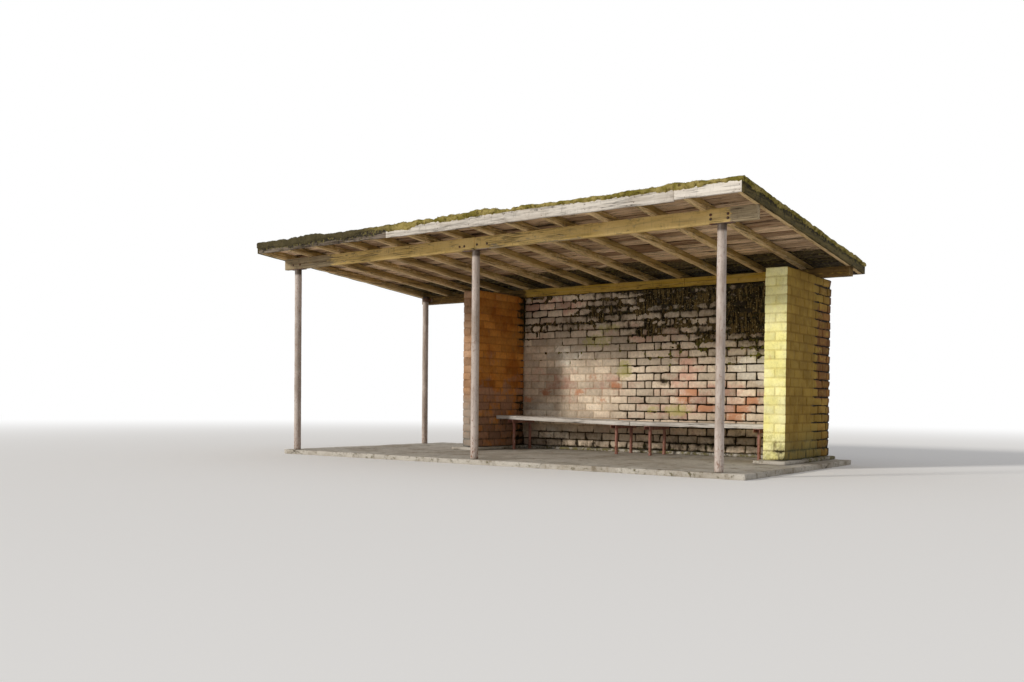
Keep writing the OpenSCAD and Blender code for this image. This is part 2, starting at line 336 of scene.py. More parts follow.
def masonry(name, paints, outer_paints, clay, outer_clay, patchy, motley, low_tint=None):
    """Painted brick with its own paint and clay on the faces that are marked as outer.

    paints are three colours, patchy is how much has flaked, motley how much brick differs from brick.
    low_tint is a colour near the ground, the levels where it starts to fade and ends, and its strength.
    """
    s = Shader(name)
    # distances to the brick's faces, and from them how far the nearest edge is
    away = s.node("VectorMath", {0: s.attribute("offset")["Vector"]}, operation="ABSOLUTE").outputs[0]
    depth = s.node("VectorMath", {0: s.attribute("half")["Vector"], 1: away}, operation="SUBTRACT")
    x, y, z = s.axes(depth.outputs[0])
    edge = s.math("MAXIMUM", s.math("MINIMUM", x, y), s.math("MINIMUM", s.math("MAXIMUM", x, y), z))
    rim = s.ramp(edge, 0.0, 0.028, 1.0, 0.0)
    tone = s.value("tone")
    hue = s.math("FRACT", tone * 13.7)
    mortar, soil, wear, outer = [s.value(key) for key in ("mortar", "soil", "wear", "outer")]
    blotch = s.noise(0.35, 4, 0.6)
    speckle = s.noise(0.012, 4, 0.65, shift=3.1)
    grime = s.noise(0.09, 6, 0.7, shift=5.7)
    mottle = s.noise(0.04, 6, 0.72, shift=41.0)
    drip = s.noise(0.05, 5, 0.7, (1, 1, 3.5), shift=15.7)
    flake = s.noise(0.06, 6, 0.74, shift=9.2)
    # the brick's clay and the mortar
    clay_tone = tone * 0.7 + s.noise(0.035, 5, 0.7) * 0.5
    brick = s.mix(clay_tone, s.mix(outer, clay[0], outer_clay[0]), s.mix(outer, clay[1], outer_clay[1]))
    lime = s.mix(grime, tint(96, 84, 66), tint(156, 144, 122))
    old_lime = s.mix(s.ramp(wear, 0.3, 0.8), lime, s.mix(grime, tint(22, 17, 11), tint(62, 50, 33)))
    base = s.mix(mortar, brick, old_lime)
    # the paint over both
    paint = s.mix(s.ramp(blotch, 0.38, 0.62), paints[0], paints[1])
    rosy = s.value("rosy") * 0.42 + hue * motley
    rosy = s.ramp(rosy - s.noise(0.11, 5, 0.7, shift=17.0), -0.27, 0.12)
    paint = s.mix(rosy, paint, paints[2])
    pale = s.math("FRACT", tone * 7.3) * motley * 0.6 - s.value("rosy") * 0.5
    pale = s.ramp(pale - s.noise(0.12, 5, 0.7, shift=44.0), -0.25, 0.1)
    paint = s.mix(pale * 0.8, paint, tint(236, 228, 212))
    paint = s.mix(outer, paint, s.mix(s.ramp(blotch, 0.4, 0.6), outer_paints[0], outer_paints[1]))
    darker = tone * (0.16 + motley * 0.95) + 0.92 - motley * 0.5
    patches = 0.4 + motley * 1.6
    darker *= mottle * patches + 1.0 - patches / 2
    grey = s.node("CombineColor", {channel: darker for channel in range(3)}).outputs[0]
    paint = s.mix(1.0, paint, grey, "MULTIPLY")
    paint = s.stain(paint, speckle, 0.55, 0.75, 0.35, tint(112, 88, 66))
    paint = s.stain(paint, drip, 0.52, 0.74, 0.2 + motley * 0.6, tint(96, 78, 56))
    gap = 1.0 - patchy - s.value("bare") * 1.2 - (mortar * 0.75 + rim * 0.22) * wear - flake
    painted = s.ramp(gap, -0.05, 0.02)
    colour = s.mix(painted, base, paint)
    # a thin wash of paint stays on bare brick near the flakes
    colour = s.mix(s.ramp(gap, -0.22, -0.04, 0.0, 0.42) * (1.0 - painted), colour, paint)
    # dirt in the joints, lichen and algae
    line = s.math("MAXIMUM", mortar, s.ramp(edge, 0.0, 0.006, 1.0, 0.0))
    line *= wear * 0.64 + 0.24
    shade = s.mix(1.0, colour, tint(196, 178, 146), "MULTIPLY")
    colour = s.mix(line, colour, s.mix(wear, shade, tint(32, 25, 16)))
    lichen = s.ramp(s.value("lichen") - s.noise(0.05, 6, 0.75, shift=31.0), -0.1, 0.1)
    colour = s.mix(lichen * 0.6, colour, s.mix(grime, tint(146, 142, 72), tint(204, 196, 118)))
    reach = soil * (rim * 0.2 + mortar * 0.3 + 0.42) + 0.2
    near_algae = reach - (grime * 0.6 + drip * 0.4)
    algae = s.ramp(near_algae, -0.05, 0.05)
    colour = s.stain(colour, near_algae, -0.2, -0.02, 0.6, tint(88, 70, 46))
    algae_colour = s.mix(s.ramp(s.noise(0.05, 5, shift=23.0), 0.5, 0.68), ALGAE_DARK, ALGAE_GREEN)
    colour = s.mix(algae * 0.92, colour, algae_colour)
    if low_tint:
        ground_colour, fading, ended, strength = low_tint
        level = s.axes(s.object)[2]
        damp = s.ramp(level + blotch * 0.5, fading, ended, 1.0, 0.0)
        colour = s.mix(damp * outer * mottle * (2 * strength), colour, ground_colour)
    # relief: pitted brick, edges of the paint, lumps of algae
    height = s.noise(0.02, 5, 0.6, shift=2.0) * 0.0025 + speckle * 0.0014 + painted * 0.0008
    height += algae * s.noise(0.015, 3) * 0.004
    return s.done(colour, s.ramp(grime, 0.3, 0.7, 0.78, 0.95), height)


# Bricks

# How far apart the divisions of a brick are: near the viewer along x, along y, and behind
FINE, FINE_SIDE, COARSE = (0.04, 0.05, 0.035), (0.05, 0.04, 0.035), (0.075, 0.08, 0.08)


def on_outer_faces(points, faces, near):
    """1 at the points near an outer face. faces are axes and places, the inner face first."""
    distances = [np.abs(points[:, axis] - place) for axis, place in faces]
    return (np.minimum.reduce(distances[1:]) < near) & (distances[0] > 0.0001)


def brick_part(low, high, rng, field, steps, faces):
    """One worn brick between two corners, a little out of line, with the wall's weathering on it."""
    low, high = np.array(low, float), np.array(high, float)
    middle = (low + high) / 2
    wear = field(middle[None])["wear"][0]
    part = block(low, high, BRICK_EDGE + WORN_EDGE * wear, steps)
    points = part.points
    outside = on_outer_faces(points, faces, near=0.014)
    offset = points - middle
    half = (high - low) / 2
    depth = np.sort(half - np.abs(offset), axis=1)
    corner = np.clip(1 - depth[:, 1] / CHIP_REACH, 0, 1)
    own = points + rng.random(3) * 40
    chip = np.clip(rough_noise(own, 0.045, 2, 3) - 0.12, 0, 1) * corner
    points = points - np.sign(offset) * (chip * (0.006 + 0.016 * wear))[:, None]
    wander = np.stack([smooth_noise(own, 0.08, seed) for seed in (1, 2, 5)], -1)
    points += (0.001 + 0.003 * wear) * wander
    points += rng.normal(0, 0.0012, 3) * (0.6 + wear)
    part.points = points
    tone = rng.random()
    fields = field(points)
    fields["bare"] = fields["bare"] * rng.uniform(0.7, 1.15)
    count = len(points)
    part.values = {**fields, "offset": offset, "half": np.broadcast_to(half, offset.shape),
                   "tone": np.full(count, tone), "mortar": np.zeros(count), "outer": outside}
    return part


def mortar_part(low, high, field, faces):
    """The mortar body of a wall: its faces lie behind the bricks', and deeper where it has worn."""
    part = block(low, high, MORTAR_EDGE, (MORTAR_STEP,) * 3)
    points = part.points
    outside = on_outer_faces(points, faces, near=0.004)
    fields = field(points)
    depth = MORTAR_DEPTH + WORN_DEPTH * fields["wear"] * (0.75 + 0.5 * rough_noise(points, 0.09, 2, 8))
    for axis in (0, 1):
        points[:, axis] += np.where(points[:, axis] < low[axis] + MORTAR_EDGE + 0.0001, depth, 0)
        points[:, axis] -= np.where(points[:, axis] > high[axis] - MORTAR_EDGE - 0.0001, depth, 0)
    none = np.zeros(len(points))
    vectors = np.zeros(points.shape)
    part.values = {**fields, "offset": vectors, "half": vectors, "tone": none + 0.5, "mortar": none + 1,
                   "bare": none, "outer": outside}
    return part


def joints(start, end, first, meet):
    """Joint places of a course laid from both ends up to meet, its end bricks that long."""
    left = np.arange(start + first, meet, MODULE)
    right = np.arange(end - first, meet, -MODULE)[::-1]
    cuts = [start]
    for place in [*left, *right, end]:
        if place - cuts[-1] > SHORTEST_BRICK:
            cuts.append(place)
    cuts[-1] = end
    return cuts


def spans(cuts, open_start=False, open_end=False):
    """Bricks between joint places. An open end has no half joint."""
    found = []
    for number, (start, end) in enumerate(zip(cuts, cuts[1:])):
        first = open_start and number == 0
        last = open_end and number == len(cuts) - 2
        found.append((start + (0 if first else JOINT / 2), end - (0 if last else JOINT / 2)))
    return found


# Patches on the back wall: along, up, half width, half height and strength. Bare bricks are along and up.
BARE_BRICKS = [(-0.13, 1.05), (0.19, 0.94), (-0.38, 0.85), (-0.92, 0.85), (-1.25, 0.74), (-0.02, 0.74),
               (1.2, 0.76), (1.33, 0.86), (1.98, 0.65), (1.9, 0.55), (1.5, 0.66), (2.1, 0.75), (0.3, 0.45)]
FRONT_SOIL = [(2.15, 1.88, 0.62, 0.44, 1.02), (1.1, 2.06, 0.8, 0.24, 0.8), (0.05, 1.95, 0.45, 0.22, 0.66),
              (-0.6, 1.77, 0.7, 0.12, 0.5), (0.8, 1.70, 0.7, 0.16, 0.54), (1.6, 1.62, 0.4, 0.16, 0.66),
              (1.5, 1.34, 1.0, 0.14, 0.34), (2.25, 1.38, 0.25, 0.07, 0.6), (0.97, 1.0, 0.09, 0.07, 0.6),
              (-1.26, 1.9, 0.08, 0.4, 0.55), (-0.6, 0.2, 0.9, 0.14, 0.4), (1.5, 0.2, 1.3, 0.2, 0.4),
              (0.7, 0.14, 2.6, 0.06, 0.6), (1.1, 2.18, 1.5, 0.06, 0.9), (-0.9, 2.19, 0.5, 0.05, 0.4)]
FRONT_LICHEN = [(-0.1, 1.55, 0.35, 0.14, 0.6), (0.33, 1.15, 0.16, 0.2, 0.62), (0.1, 1.72, 0.3, 0.1, 0.56),
                (1.1, 0.62, 0.3, 0.12, 0.6), (2.2, 1.3, 0.3, 0.1, 0.5), (0.75, 0.62, 0.2, 0.1, 0.5)]
FRONT_ROSY = [(1.5, 0.75, 0.75, 0.2, 0.9), (-0.75, 0.98, 0.5, 0.2, 0.4), (1.2, 1.15, 0.2, 0.3, 0.7),
              (-0.75, 2.06, 0.6, 0.14, 0.9), (0.95, 1.62, 0.6, 0.12, 0.7), (0.1, 0.9, 0.4, 0.2, 0.5)]
FRONT_PALE = [(2.25, 1.15, 0.4, 0.26, 1.0), (-0.6, 1.35, 0.55, 0.25, 0.6), (-0.95, 0.6, 0.35, 0.12, 0.9),
              (-0.8, 0.3, 0.5, 0.1, 0.6), (0.0, 0.7, 0.3, 0.15, 0.4), (1.2, 1.95, 0.9, 0.2, 0.5),
              (-0.1, 1.9, 0.5, 0.15, 0.5)]
REAR_SOIL = [(0.6, 2.2, 3.0, 0.25, 0.3), (0.6, 0.1, 3.2, 0.25, 0.4)]
BACK_LOW, BACK_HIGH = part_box("back_wall")
LEFT_LOW, LEFT_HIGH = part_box("left_wall")
RIGHT_LOW, RIGHT_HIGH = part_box("right_wall")
ROOM_LEFT, ROOM_RIGHT = LEFT_HIGH.x, RIGHT_LOW.x
WALL_BASE, WALL_TOP = BACK_LOW.z, BACK_HIGH.z
COURSES = round((WALL_TOP - WALL_BASE) / COURSE)


def outer_right(y, z, drift):
    """Weathering of the right end: paint in front, a toothed strip of bare brick, open joints behind."""
    strip = soft_step(y, 1.15, 1.3) * soft_step(z + drift, 0.7, 0.8) * soft_step(z + drift, 1.9, 1.8)
    wear = 0.9 * soft_step(y + drift, 1.05, 1.25)
    soil = 0.4 * soft_step(z, 0.45, 0.15) + 0.3 * wear * soft_step(z, 1.9, 2.1)
    return {"bare": 0.42 * strip, "wear": wear, "soil": soil}


def back_wall_field(points):
    """Weathering of the back wall: the room's face follows the patches, the rear is bare and dark."""
    x, y, z = points.T
    front = y < BACK_LOW.y + 0.1
    right_end = (x > BACK_HIGH.x - 0.2) & (y < BACK_HIGH.y - 0.06)
    drift = 0.12 * rough_noise(points, 0.25, 2, 4)
    end = outer_right(y, z, drift)
    rear_soil = 0.45 + 2.0 * drift + spots(x, z, REAR_SOIL)
    soil = np.where(front, spots(x + drift, z + 0.5 * drift, FRONT_SOIL), rear_soil)
    high = soft_step(z + drift, 1.5, 1.68)
    right = soft_step(x + drift, 0.0, 0.5) * 0.9
    middle = 0.45 * soft_step(x + drift, -0.8, -0.5) * soft_step(z, 1.2, 1.45)
    low = 0.9 * soft_step(z + drift, 0.36, 0.26)
    uneven = np.clip(0.9 + 0.5 * rough_noise(points, 0.2, 2, 9), 0.4, 1.1)
    wear = np.maximum.reduce([high, right, middle, low]) * uneven * 0.84 + 0.16
    wear = np.where(front, wear, 0.85)
    patches = spots(x, z, [(*place, 0.15, 0.062, 0.42) for place in BARE_BRICKS])
    bare = np.where(front, patches, 0.6)
    for key, value in (("soil", soil), ("wear", wear), ("bare", bare)):
        value[right_end] = end[key][right_end]
    bare[x < BACK_LOW.x + 0.2] = 0.55
    rosy = spots(x + drift, z, FRONT_ROSY) - spots(x + drift, z, FRONT_PALE)
    return {"soil": np.clip(soil, 0, 1.2), "wear": wear, "bare": bare, "rosy": np.where(front, rosy, 0.0),
            "lichen": np.where(front, spots(x, z, FRONT_LICHEN), 0.0)}


def room_corner(y, drift):
    """1 in a side wall's corner with the back wall, 0 farther forward, uneven in between."""
    return soft_step(y + 1.5 * drift, 1.12, 1.3) * np.clip(0.8 + 4 * drift, 0.5, 1.0)


def left_wall_field(points):
    """Weathering of the left wall: its corner at the back is dark, its outer face plain."""
    x, y, z = points.T
    inner = x > (LEFT_LOW.x + LEFT_HIGH.x) / 2
    drift = 0.1 * rough_noise(points, 0.22, 2, 6)
    corner = room_corner(y, drift)
    damp = soft_step(z + 2 * drift, 0.95, 0.45)
    inner_soil = corner * (0.5 + 0.3 * soft_step(z, 1.6, 2.0)) + 0.22 * damp
    outer_soil = 0.5 * soft_step(z, 0.5, 0.1) + 0.2 * soft_step(z, 1.8, 2.1)
    rear = soft_step(y + drift, 0.95, 1.15)
    return {"soil": np.where(inner, inner_soil, outer_soil),
            "wear": np.where(inner, 0.12 + np.maximum(0.8 * corner, 0.2 * damp), 0.15 + 0.7 * rear),
            "bare": np.where(inner, 0.1 * corner + 0.12 * damp, 0.2 * rear),
            "lichen": np.zeros(len(points)), "rosy": soft_step(z + 3 * drift, 1.1, 0.7)}


def right_wall_field(points):
    """Weathering of the right wall: smooth paint on the pillar's front and its outer side."""
    x, y, z = points.T
    inner = x < (RIGHT_LOW.x + RIGHT_HIGH.x) / 2
    drift = 0.1 * rough_noise(points, 0.22, 2, 7)
    corner = room_corner(y, drift)
    end = outer_right(y, z, drift)
    return {"soil": np.where(inner, 0.6 * corner + 0.25 * soft_step(z, 0.5, 0.15), end["soil"]),
            "wear": np.where(inner, 0.1 + 0.8 * corner, 0.1 + 0.9 * end["wear"]),
            "bare": np.where(inner, 0.1 * corner, end["bare"]),
            "lichen": 0.5 * soft_step(z + 2 * drift, 0.6, 0.3) * (y < RIGHT_LOW.y + 0.02),
            "rosy": spots(x, z, [(2.76, 1.22, 0.05, 0.05, 0.6), (2.85, 0.62, 0.2, 0.1, 0.4)]) * (y < 0.5)}


def lay(parts, course, rng, field, faces, x, y, steps):
    """Adds the brick of a course that fills those spans."""
    low = WALL_BASE + course * COURSE + JOINT / 2
    high = low + COURSE - JOINT
    parts.append(brick_part((x[0], y[0], low), (x[1], y[1], high), rng, field, steps, faces))


def meeting(course):
    """Where the bricks laid from the left meet those laid from the right."""
    return 0.78 + 0.1 * math.sin(course * 2.1)


def front_cuts(course):
    """Joint places of a course on the room's side of the back wall."""
    first = MODULE if course % 2 == 1 else HALF_BRICK
    return joints(ROOM_LEFT, ROOM_RIGHT, first, meeting(course))


def build_back_wall(material):
    """The back wall: bricks on the room's side, behind them the rear ones, and whole bricks at the ends."""
    rng = np.random.default_rng(11)
    low, high = BACK_LOW, BACK_HIGH
    faces = ((1, low.y), (1, high.y), (0, high.x), (0, low.x))
    parts = [mortar_part(low, high, back_wall_field, faces)]
    for course in range(COURSES):
        odd = course % 2 == 1
        put = functools.partial(lay, parts, course, rng, back_wall_field, faces)
        for x in spans(front_cuts(course)):
            put(x, (low.y, low.y + EMBED), FINE)
        end = 0 if odd else LEAF + JOINT / 2
        cuts = joints(low.x + end, high.x - end, MODULE, meeting(course))
        for x in spans(cuts, odd, odd):
            corner = odd and (x[0] == low.x or x[1] == high.x)
            put(x, (high.y - (LEAF if corner else EMBED), high.y), COARSE)
        y = (low.y - END_OUT, high.y - LEAF - JOINT) if odd else (low.y + END_IN, high.y)
        for x in ((low.x, low.x + LEAF), (high.x - LEAF, high.x)):
            put(x, y, FINE_SIDE)
    make("back_wall_brickwork", parts, material, ["back_wall"])


def build_side_wall(node, material, field, seed, faces):
    """A side wall in two leaves: the room's reaches the back wall, the other its end bricks."""
    rng = np.random.default_rng(seed)
    low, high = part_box(node)
    parts = [mortar_part(low, high, field, faces)]
    for course in range(COURSES):
        odd = course % 2 == 1
        put = functools.partial(lay, parts, course, rng, field, faces)
        if odd:
            cuts = [low.y + MODULE * k for k in range(5)]
        else:
            cuts = [low.y + LEAF + JOINT / 2, *[low.y + HALF_BRICK + MODULE * k for k in range(1, 5)]]
            put((low.x, high.x), (low.y, low.y + LEAF), FINE_SIDE)
        for leaf, x in enumerate(((low.x, low.x + LEAF), (high.x - LEAF, high.x))):
            outer_leaf = (leaf == 1) == (low.x > 0)
            ends = cuts if outer_leaf else [*cuts[:-1], high.y]
            for number, y in enumerate(spans(ends, odd)):
                corner = odd and number == 0
                face = (x[0], x[0] + EMBED) if leaf == 0 else (x[1] - EMBED, x[1])
                put(x if corner else face, y, FINE_SIDE)
    make(node + "_brickwork", parts, material, [node])


def joint_distance(x, z):
    """How far places on the back wall's room side are from the nearest joint's middle."""
    course = np.clip(((z - WALL_BASE) // COURSE).astype(int), 0, COURSES - 1)
    level = (z - WALL_BASE) - course * COURSE
    distance = np.minimum(level, COURSE - level)
    for number in range(COURSES):
        here = course == number
        cuts = np.array(front_cuts(number))
        if here.any():
            sideways = np.abs(x[here, None] - cuts[None]).min(1)
            distance[here] = np.minimum(distance[here], sideways)
    return distance


def wall_moss_material():
    s = Shader("wall_moss")
    tuft = s.noise(0.012, 5, 0.7)
    clump = s.noise(0.06, 4, 0.6, shift=3.0)
    level = s.axes(s.object)[2]
    streak = s.noise(0.02, 5, 0.7, (1, 1, 6), shift=6.0)
    dark = s.mix(s.ramp(streak, 0.4, 0.66), tint(24, 18, 11), tint(122, 102, 62))
    dark = s.stain(dark, s.noise(0.022, 4, 0.7, shift=13.0), 0.58, 0.66, 0.85, tint(196, 182, 142))
    green = s.mix(tuft, tint(54, 54, 18), tint(136, 134, 50))
    high = s.ramp(level + clump * 0.5, 1.62, 1.85)
    colour = s.mix(s.math("MAXIMUM", high, s.ramp(clump, 0.56, 0.46)), green, dark)
    return s.done(colour, 0.95, tuft * 0.006 + clump * 0.004)


def build_wall_moss(material):
    """Moss on the room's back wall: it fills the joints first and leaves ragged brick middles open."""
    step, lowest = 0.0125, 1.16
    sunk, proud, back = 0.018, 0.032, 0.03
    x = np.arange(ROOM_LEFT + 0.01, ROOM_RIGHT - 0.01, step)
    z = np.arange(lowest, WALL_TOP - 0.004, step)
    part = block_from([x, np.array([0.0, 1.0]), z], 0.0)
    x, side, z = part.points.T
    flat = points_at(x, 0.0, z)
    drift = 0.1 * rough_noise(flat, 0.25, 2, 4)
    soil = spots(x + drift, z + 0.5 * drift, FRONT_SOIL)
    ragged = 0.85 * rough_noise(flat, (0.075, 1, 0.09), 4, 44) + 0.3 * smooth_noise(flat, (0.2, 1, 0.15), 46)
    ragged += 0.3 * soft_step(x, 1.5, 1.9) * smooth_noise(flat, (0.022, 1, 0.14), 47)
    ragged -= 1.1 * soft_step(rough_noise(flat, (0.07, 1, 0.05), 2, 48), 0.35, 0.6)
    cover = soil - 0.27 - 0.4 * np.clip(joint_distance(x, z) / 0.044, 0, 1) + ragged
    share = soft_step(cover, 0.0, 0.13) * soft_step(z, lowest, lowest + 0.08)
    lumps = 0.5 + 0.5 * rough_noise(flat, 0.03, 2, 45)
    outward = share * (sunk + (proud - sunk) * np.clip(lumps, 0.1, 1))
    part.points[:, 1] = BACK_LOW.y + np.where(side > 0.5, back, sunk - outward)
    make("back_wall_moss", [with_values(part, 0.5)], material, sharp=80)


def build_walls():
    """The three walls in their paints, and the moss on the one behind."""
    brown = (tint(78, 50, 27), tint(142, 100, 56))
    red = (tint(152, 98, 70), tint(208, 154, 120))
    rust = (tint(128, 72, 44), tint(184, 112, 70))
    # The cream wall's outer paint, a darker ochre, is partly its own paint and partly painted shade on its
    # right end.
    cream = masonry("limewashed_brick", (tint(218, 201, 178), tint(200, 182, 160), tint(198, 158, 138)),
                    (tint(156, 124, 60), tint(130, 100, 42)), red, brown, patchy=0.16, motley=0.34)
    orange = masonry("orange_painted_brick", (tint(194, 132, 62), tint(172, 106, 42), tint(160, 122, 98)),
                     (tint(184, 150, 122), tint(168, 130, 98)), rust, brown, patchy=0.16, motley=0.28,
                     low_tint=(tint(146, 145, 138), 0.8, 1.25, 0.6))
    # The yellow wall's outer paint, a darker ochre, is partly its own paint and partly painted shade on its
    # outer side.
    yellow = masonry("yellow_painted_brick", (tint(248, 242, 182), tint(242, 234, 154), tint(222, 182, 114)),
                     (tint(154, 126, 58), tint(136, 108, 46)), brown, brown, patchy=0.12, motley=0.04,
                     low_tint=(tint(124, 120, 76), 0.4, 0.75, 0.45))
    build_back_wall(cream)
    build_wall_moss(wall_moss_material())
    build_side_wall("left_wall", orange, left_wall_field, 21,
                    ((0, LEFT_HIGH.x), (0, LEFT_LOW.x), (1, LEFT_LOW.y)))
    build_side_wall("right_wall", yellow, right_wall_field, 31,
                    ((1, RIGHT_LOW.y), (0, RIGHT_HIGH.x)))


# Roof geometry

FELT_THICK, BOARD_THICK, PLANK_THICK = 0.008, 0.022, 0.05
FELT_LOW, FELT_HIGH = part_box("roof_felt")
BOARD_LOW, BOARD_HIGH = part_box("roof_boards")
ROOF_FRONT, ROOF_REAR = FELT_LOW.y, FELT_HIGH.y
SLOPE = (FELT_HIGH.z - FELT_THICK - FELT_LOW.z) / (ROOF_REAR - ROOF_FRONT)
RAFTERS = sorted(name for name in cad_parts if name.startswith("rafter_"))


def deck_z(y):
    """Height of the top of the roof boards at a place from front to back."""
    return FELT_LOW.z + SLOPE * (ROOF_REAR - np.asarray(y))


def sheared(part):
    """A part built over a level deck at height 0, set down on the sloping roof."""
    part.points[:, 2] += deck_z(part.points[:, 1])
    return part


def upright_height(low, high):
    """How tall a sloping timber is at one place, from the corners of its box."""
    return high.z - low.z - SLOPE * (high.y - low.y)


# Timber

def timber(name, grain_axis, bare, paint=None, paint_share=0.0, moss_share=0.0, silver=0.0, drips=0.35,
           streaks=0.3):
    """Sawn wood. bare is its dark and light colour, paint two colours, and shares are how much covers."""
    s = Shader(name)

    def drawn(factor):
        return tuple(factor if axis == grain_axis else 1.0 for axis in "XYZ")

    # the wood: grain, silvering, splits and knots
    coarse = s.noise(0.022, 4, 0.6, drawn(40.0), bend=0.3)
    fine = s.noise(0.006, 3, 0.6, drawn(60.0), shift=4.0)
    patch = s.noise(0.3, 5, 0.62, drawn(2.5), shift=8.0)
    grime = s.noise(0.05, 6, 0.74, drawn(2.5), shift=12.0)
    run = s.noise(0.018, 5, 0.7, (1, 1, 7), shift=33.0)
    grain = coarse * 0.6 + fine * 0.4
    wood_tone = (grain - 0.5) * 2.2 + s.value("tone") * 0.7 + patch - 0.35
    colour = s.mix(wood_tone, bare[0], bare[1])
    colour = s.stain(colour, patch, 0.42, 0.6, silver, tint(206, 200, 190))
    ridge = s.math("ABSOLUTE", s.noise(0.02, 2, 0.5, drawn(45.0), shift=21.0) - 0.5)
    check = s.ramp(ridge, 0.004, 0.018, 1.0, 0.0)
    check *= s.ramp(s.noise(0.25, 3, 0.6, drawn(2.0), shift=27.0), 0.46, 0.56)
    knot = s.ramp(s.cells(0.16, drawn(4.0), shift=2.0), 0.05, 0.14, 1.0, 0.0)
    knot *= s.ramp(s.noise(0.4, 1, shift=40.0), 0.5, 0.6)
    colour = s.mix(knot * 0.75, colour, s.mix(0.45, bare[0], tint(40, 26, 14)))
    height = coarse * 0.0022 + fine * 0.0014 - check * 0.003
    # the paint, scuffed off where the wood is worn, and off the rafters' lower edges as a painted highlight
    if paint:
        coat = s.mix(s.ramp(patch, 0.35, 0.65), paint[0], paint[1])
        coat = s.stain(coat, grain, 0.4, 0.62, 0.3, tint(214, 186, 132))
        scuff = grime * 0.6 + grain * 0.4
        painted = s.ramp(paint_share - s.value("worn") * 0.5 - scuff, -0.05, 0.05) * (1.0 - check * 0.6)
        colour = s.mix(painted * 0.9, colour, coat)
        height += painted * 0.0005
    # dark splits, streaks, grime, drips and growth over both; on the roof boards the growth colour towards
    # the back is painted shade
    colour = s.mix(check * 0.75, colour, tint(34, 25, 16))
    streak = s.noise(0.035, 5, 0.7, drawn(14.0), shift=71.0)
    colour = s.stain(colour, streak, 0.53, 0.64, streaks, tint(48, 36, 24))
    colour = s.stain(colour, grime, 0.54, 0.74, 0.6, tint(66, 52, 34))
    colour = s.stain(colour, run, 0.54, 0.72, drips, tint(58, 48, 34))
    moss_noise = s.noise(0.05, 6, 0.72, drawn(2.5), shift=50.0) * 0.7 + run * 0.3
    green = s.ramp(s.value("soil") + moss_share - moss_noise, -0.07, 0.07)
    growth_and_shade = s.mix(s.ramp(s.noise(0.03, 4, shift=60.0), 0.46, 0.68), tint(30, 26, 16), tint(112, 102, 54))
    colour = s.mix(green * 0.9, colour, growth_and_shade)
    height += green * 0.0015
    return s.done(colour, s.ramp(grain, 0.3, 0.7, 0.7, 0.92), height)


def weather(part, axis, seed, bow, chips):
    """Bends a straight timber a little, and wears its edges, along the given axis (0, 1 or 2)."""
    edge_reach, bow_length, ripple_depth = 0.012, 1.3, 0.0007
    points = part.points
    low, high = points.min(0), points.max(0)
    middle, half = (low + high) / 2, (high - low) / 2
    others = [other for other in range(3) if other != axis]
    offset = points - middle
    near = np.clip(1 - (half - np.abs(offset))[:, others] / edge_reach, 0, 1)
    size, ripple = np.full(3, 0.03), np.full(3, 0.02)
    size[axis], ripple[axis] = 0.14, 0.3
    chip = np.clip(rough_noise(points, size, 2, seed + 3) - 0.1, 0, 1) * near.prod(1)
    for other in others:
        points[:, other] -= np.sign(offset[:, other]) * chip * chips
    line = np.zeros_like(points)
    line[:, axis] = points[:, axis]
    for other in others:
        points[:, other] += bow * smooth_noise(line, bow_length, seed + other)
    for other in others:
        points[:, other] += ripple_depth * smooth_noise(points, ripple, seed + 5 + other)
    return part


def with_values(part, tone, soil=0.0, worn=0.0):
    """The part with its tone, soil and painted shade, and wear and painted highlight: one number or one for
    each point.
    """
    for key, value in (("tone", tone), ("soil", soil), ("worn", worn)):
        part.values[key] = np.broadcast_to(value, len(part.points)).astype(float)
    return part


def straight(node, edge, steps, seed, bow, chips):
    """A level timber along the shelter that fills the box of a node, weathered."""
    return weather(block(*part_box(node), edge, steps), 0, seed, bow, chips)


def build_front_beam(material):
    """Two lengths of beam, each worn bare near its outer end."""
    patches = [(-2.6, 2.45, 0.25, 0.2, 0.55), (0.2, 2.4, 0.3, 0.05, 0.3), (1.0, 2.4, 0.4, 0.06, 0.25)]
    lengths = (("front_beam_left", 0.4, 0.12), ("front_beam_right", 0.75, 0.0))
    for number, (node, tone, soil) in enumerate(lengths):
        part = straight(node, 0.004, (0.045, 0.03, 0.035), 40 + number, bow=0.0025, chips=0.007)
        x, _, z = part.points.T
        worn = soft_step(x, 2.95, 3.1) + soft_step(x, -2.75, -3.0) * 0.55 + spots(x, z, patches)
        part = with_values(part, tone, soil, np.clip(worn, 0, 1))
        make(node + "_timber", [part], material, [node])


def build_rear_beam(material):
    """Three lengths of beam, painted inside the room and worn outside it."""
    damp = [(-0.35, 2.25, 0.2, 0.1, 1.0), (2.35, 2.25, 0.3, 0.2, 1.0)]
    for number, node in enumerate(("rear_beam_left", "rear_beam_middle", "rear_beam_right")):
        part = straight(node, 0.005, (0.05, 0.04, 0.03), 50 + number, bow=0.002, chips=0.008)
        x, _, z = part.points.T
        inside = (x > ROOM_LEFT) & (x < ROOM_RIGHT)
        soil = np.where(inside, 0.12 + 0.3 * spots(x, z, damp), 0.22)
        part = with_values(part, 0.4, soil, np.where(inside, 0.0, 0.35))
        make(node + "_timber", [part], material, [node])


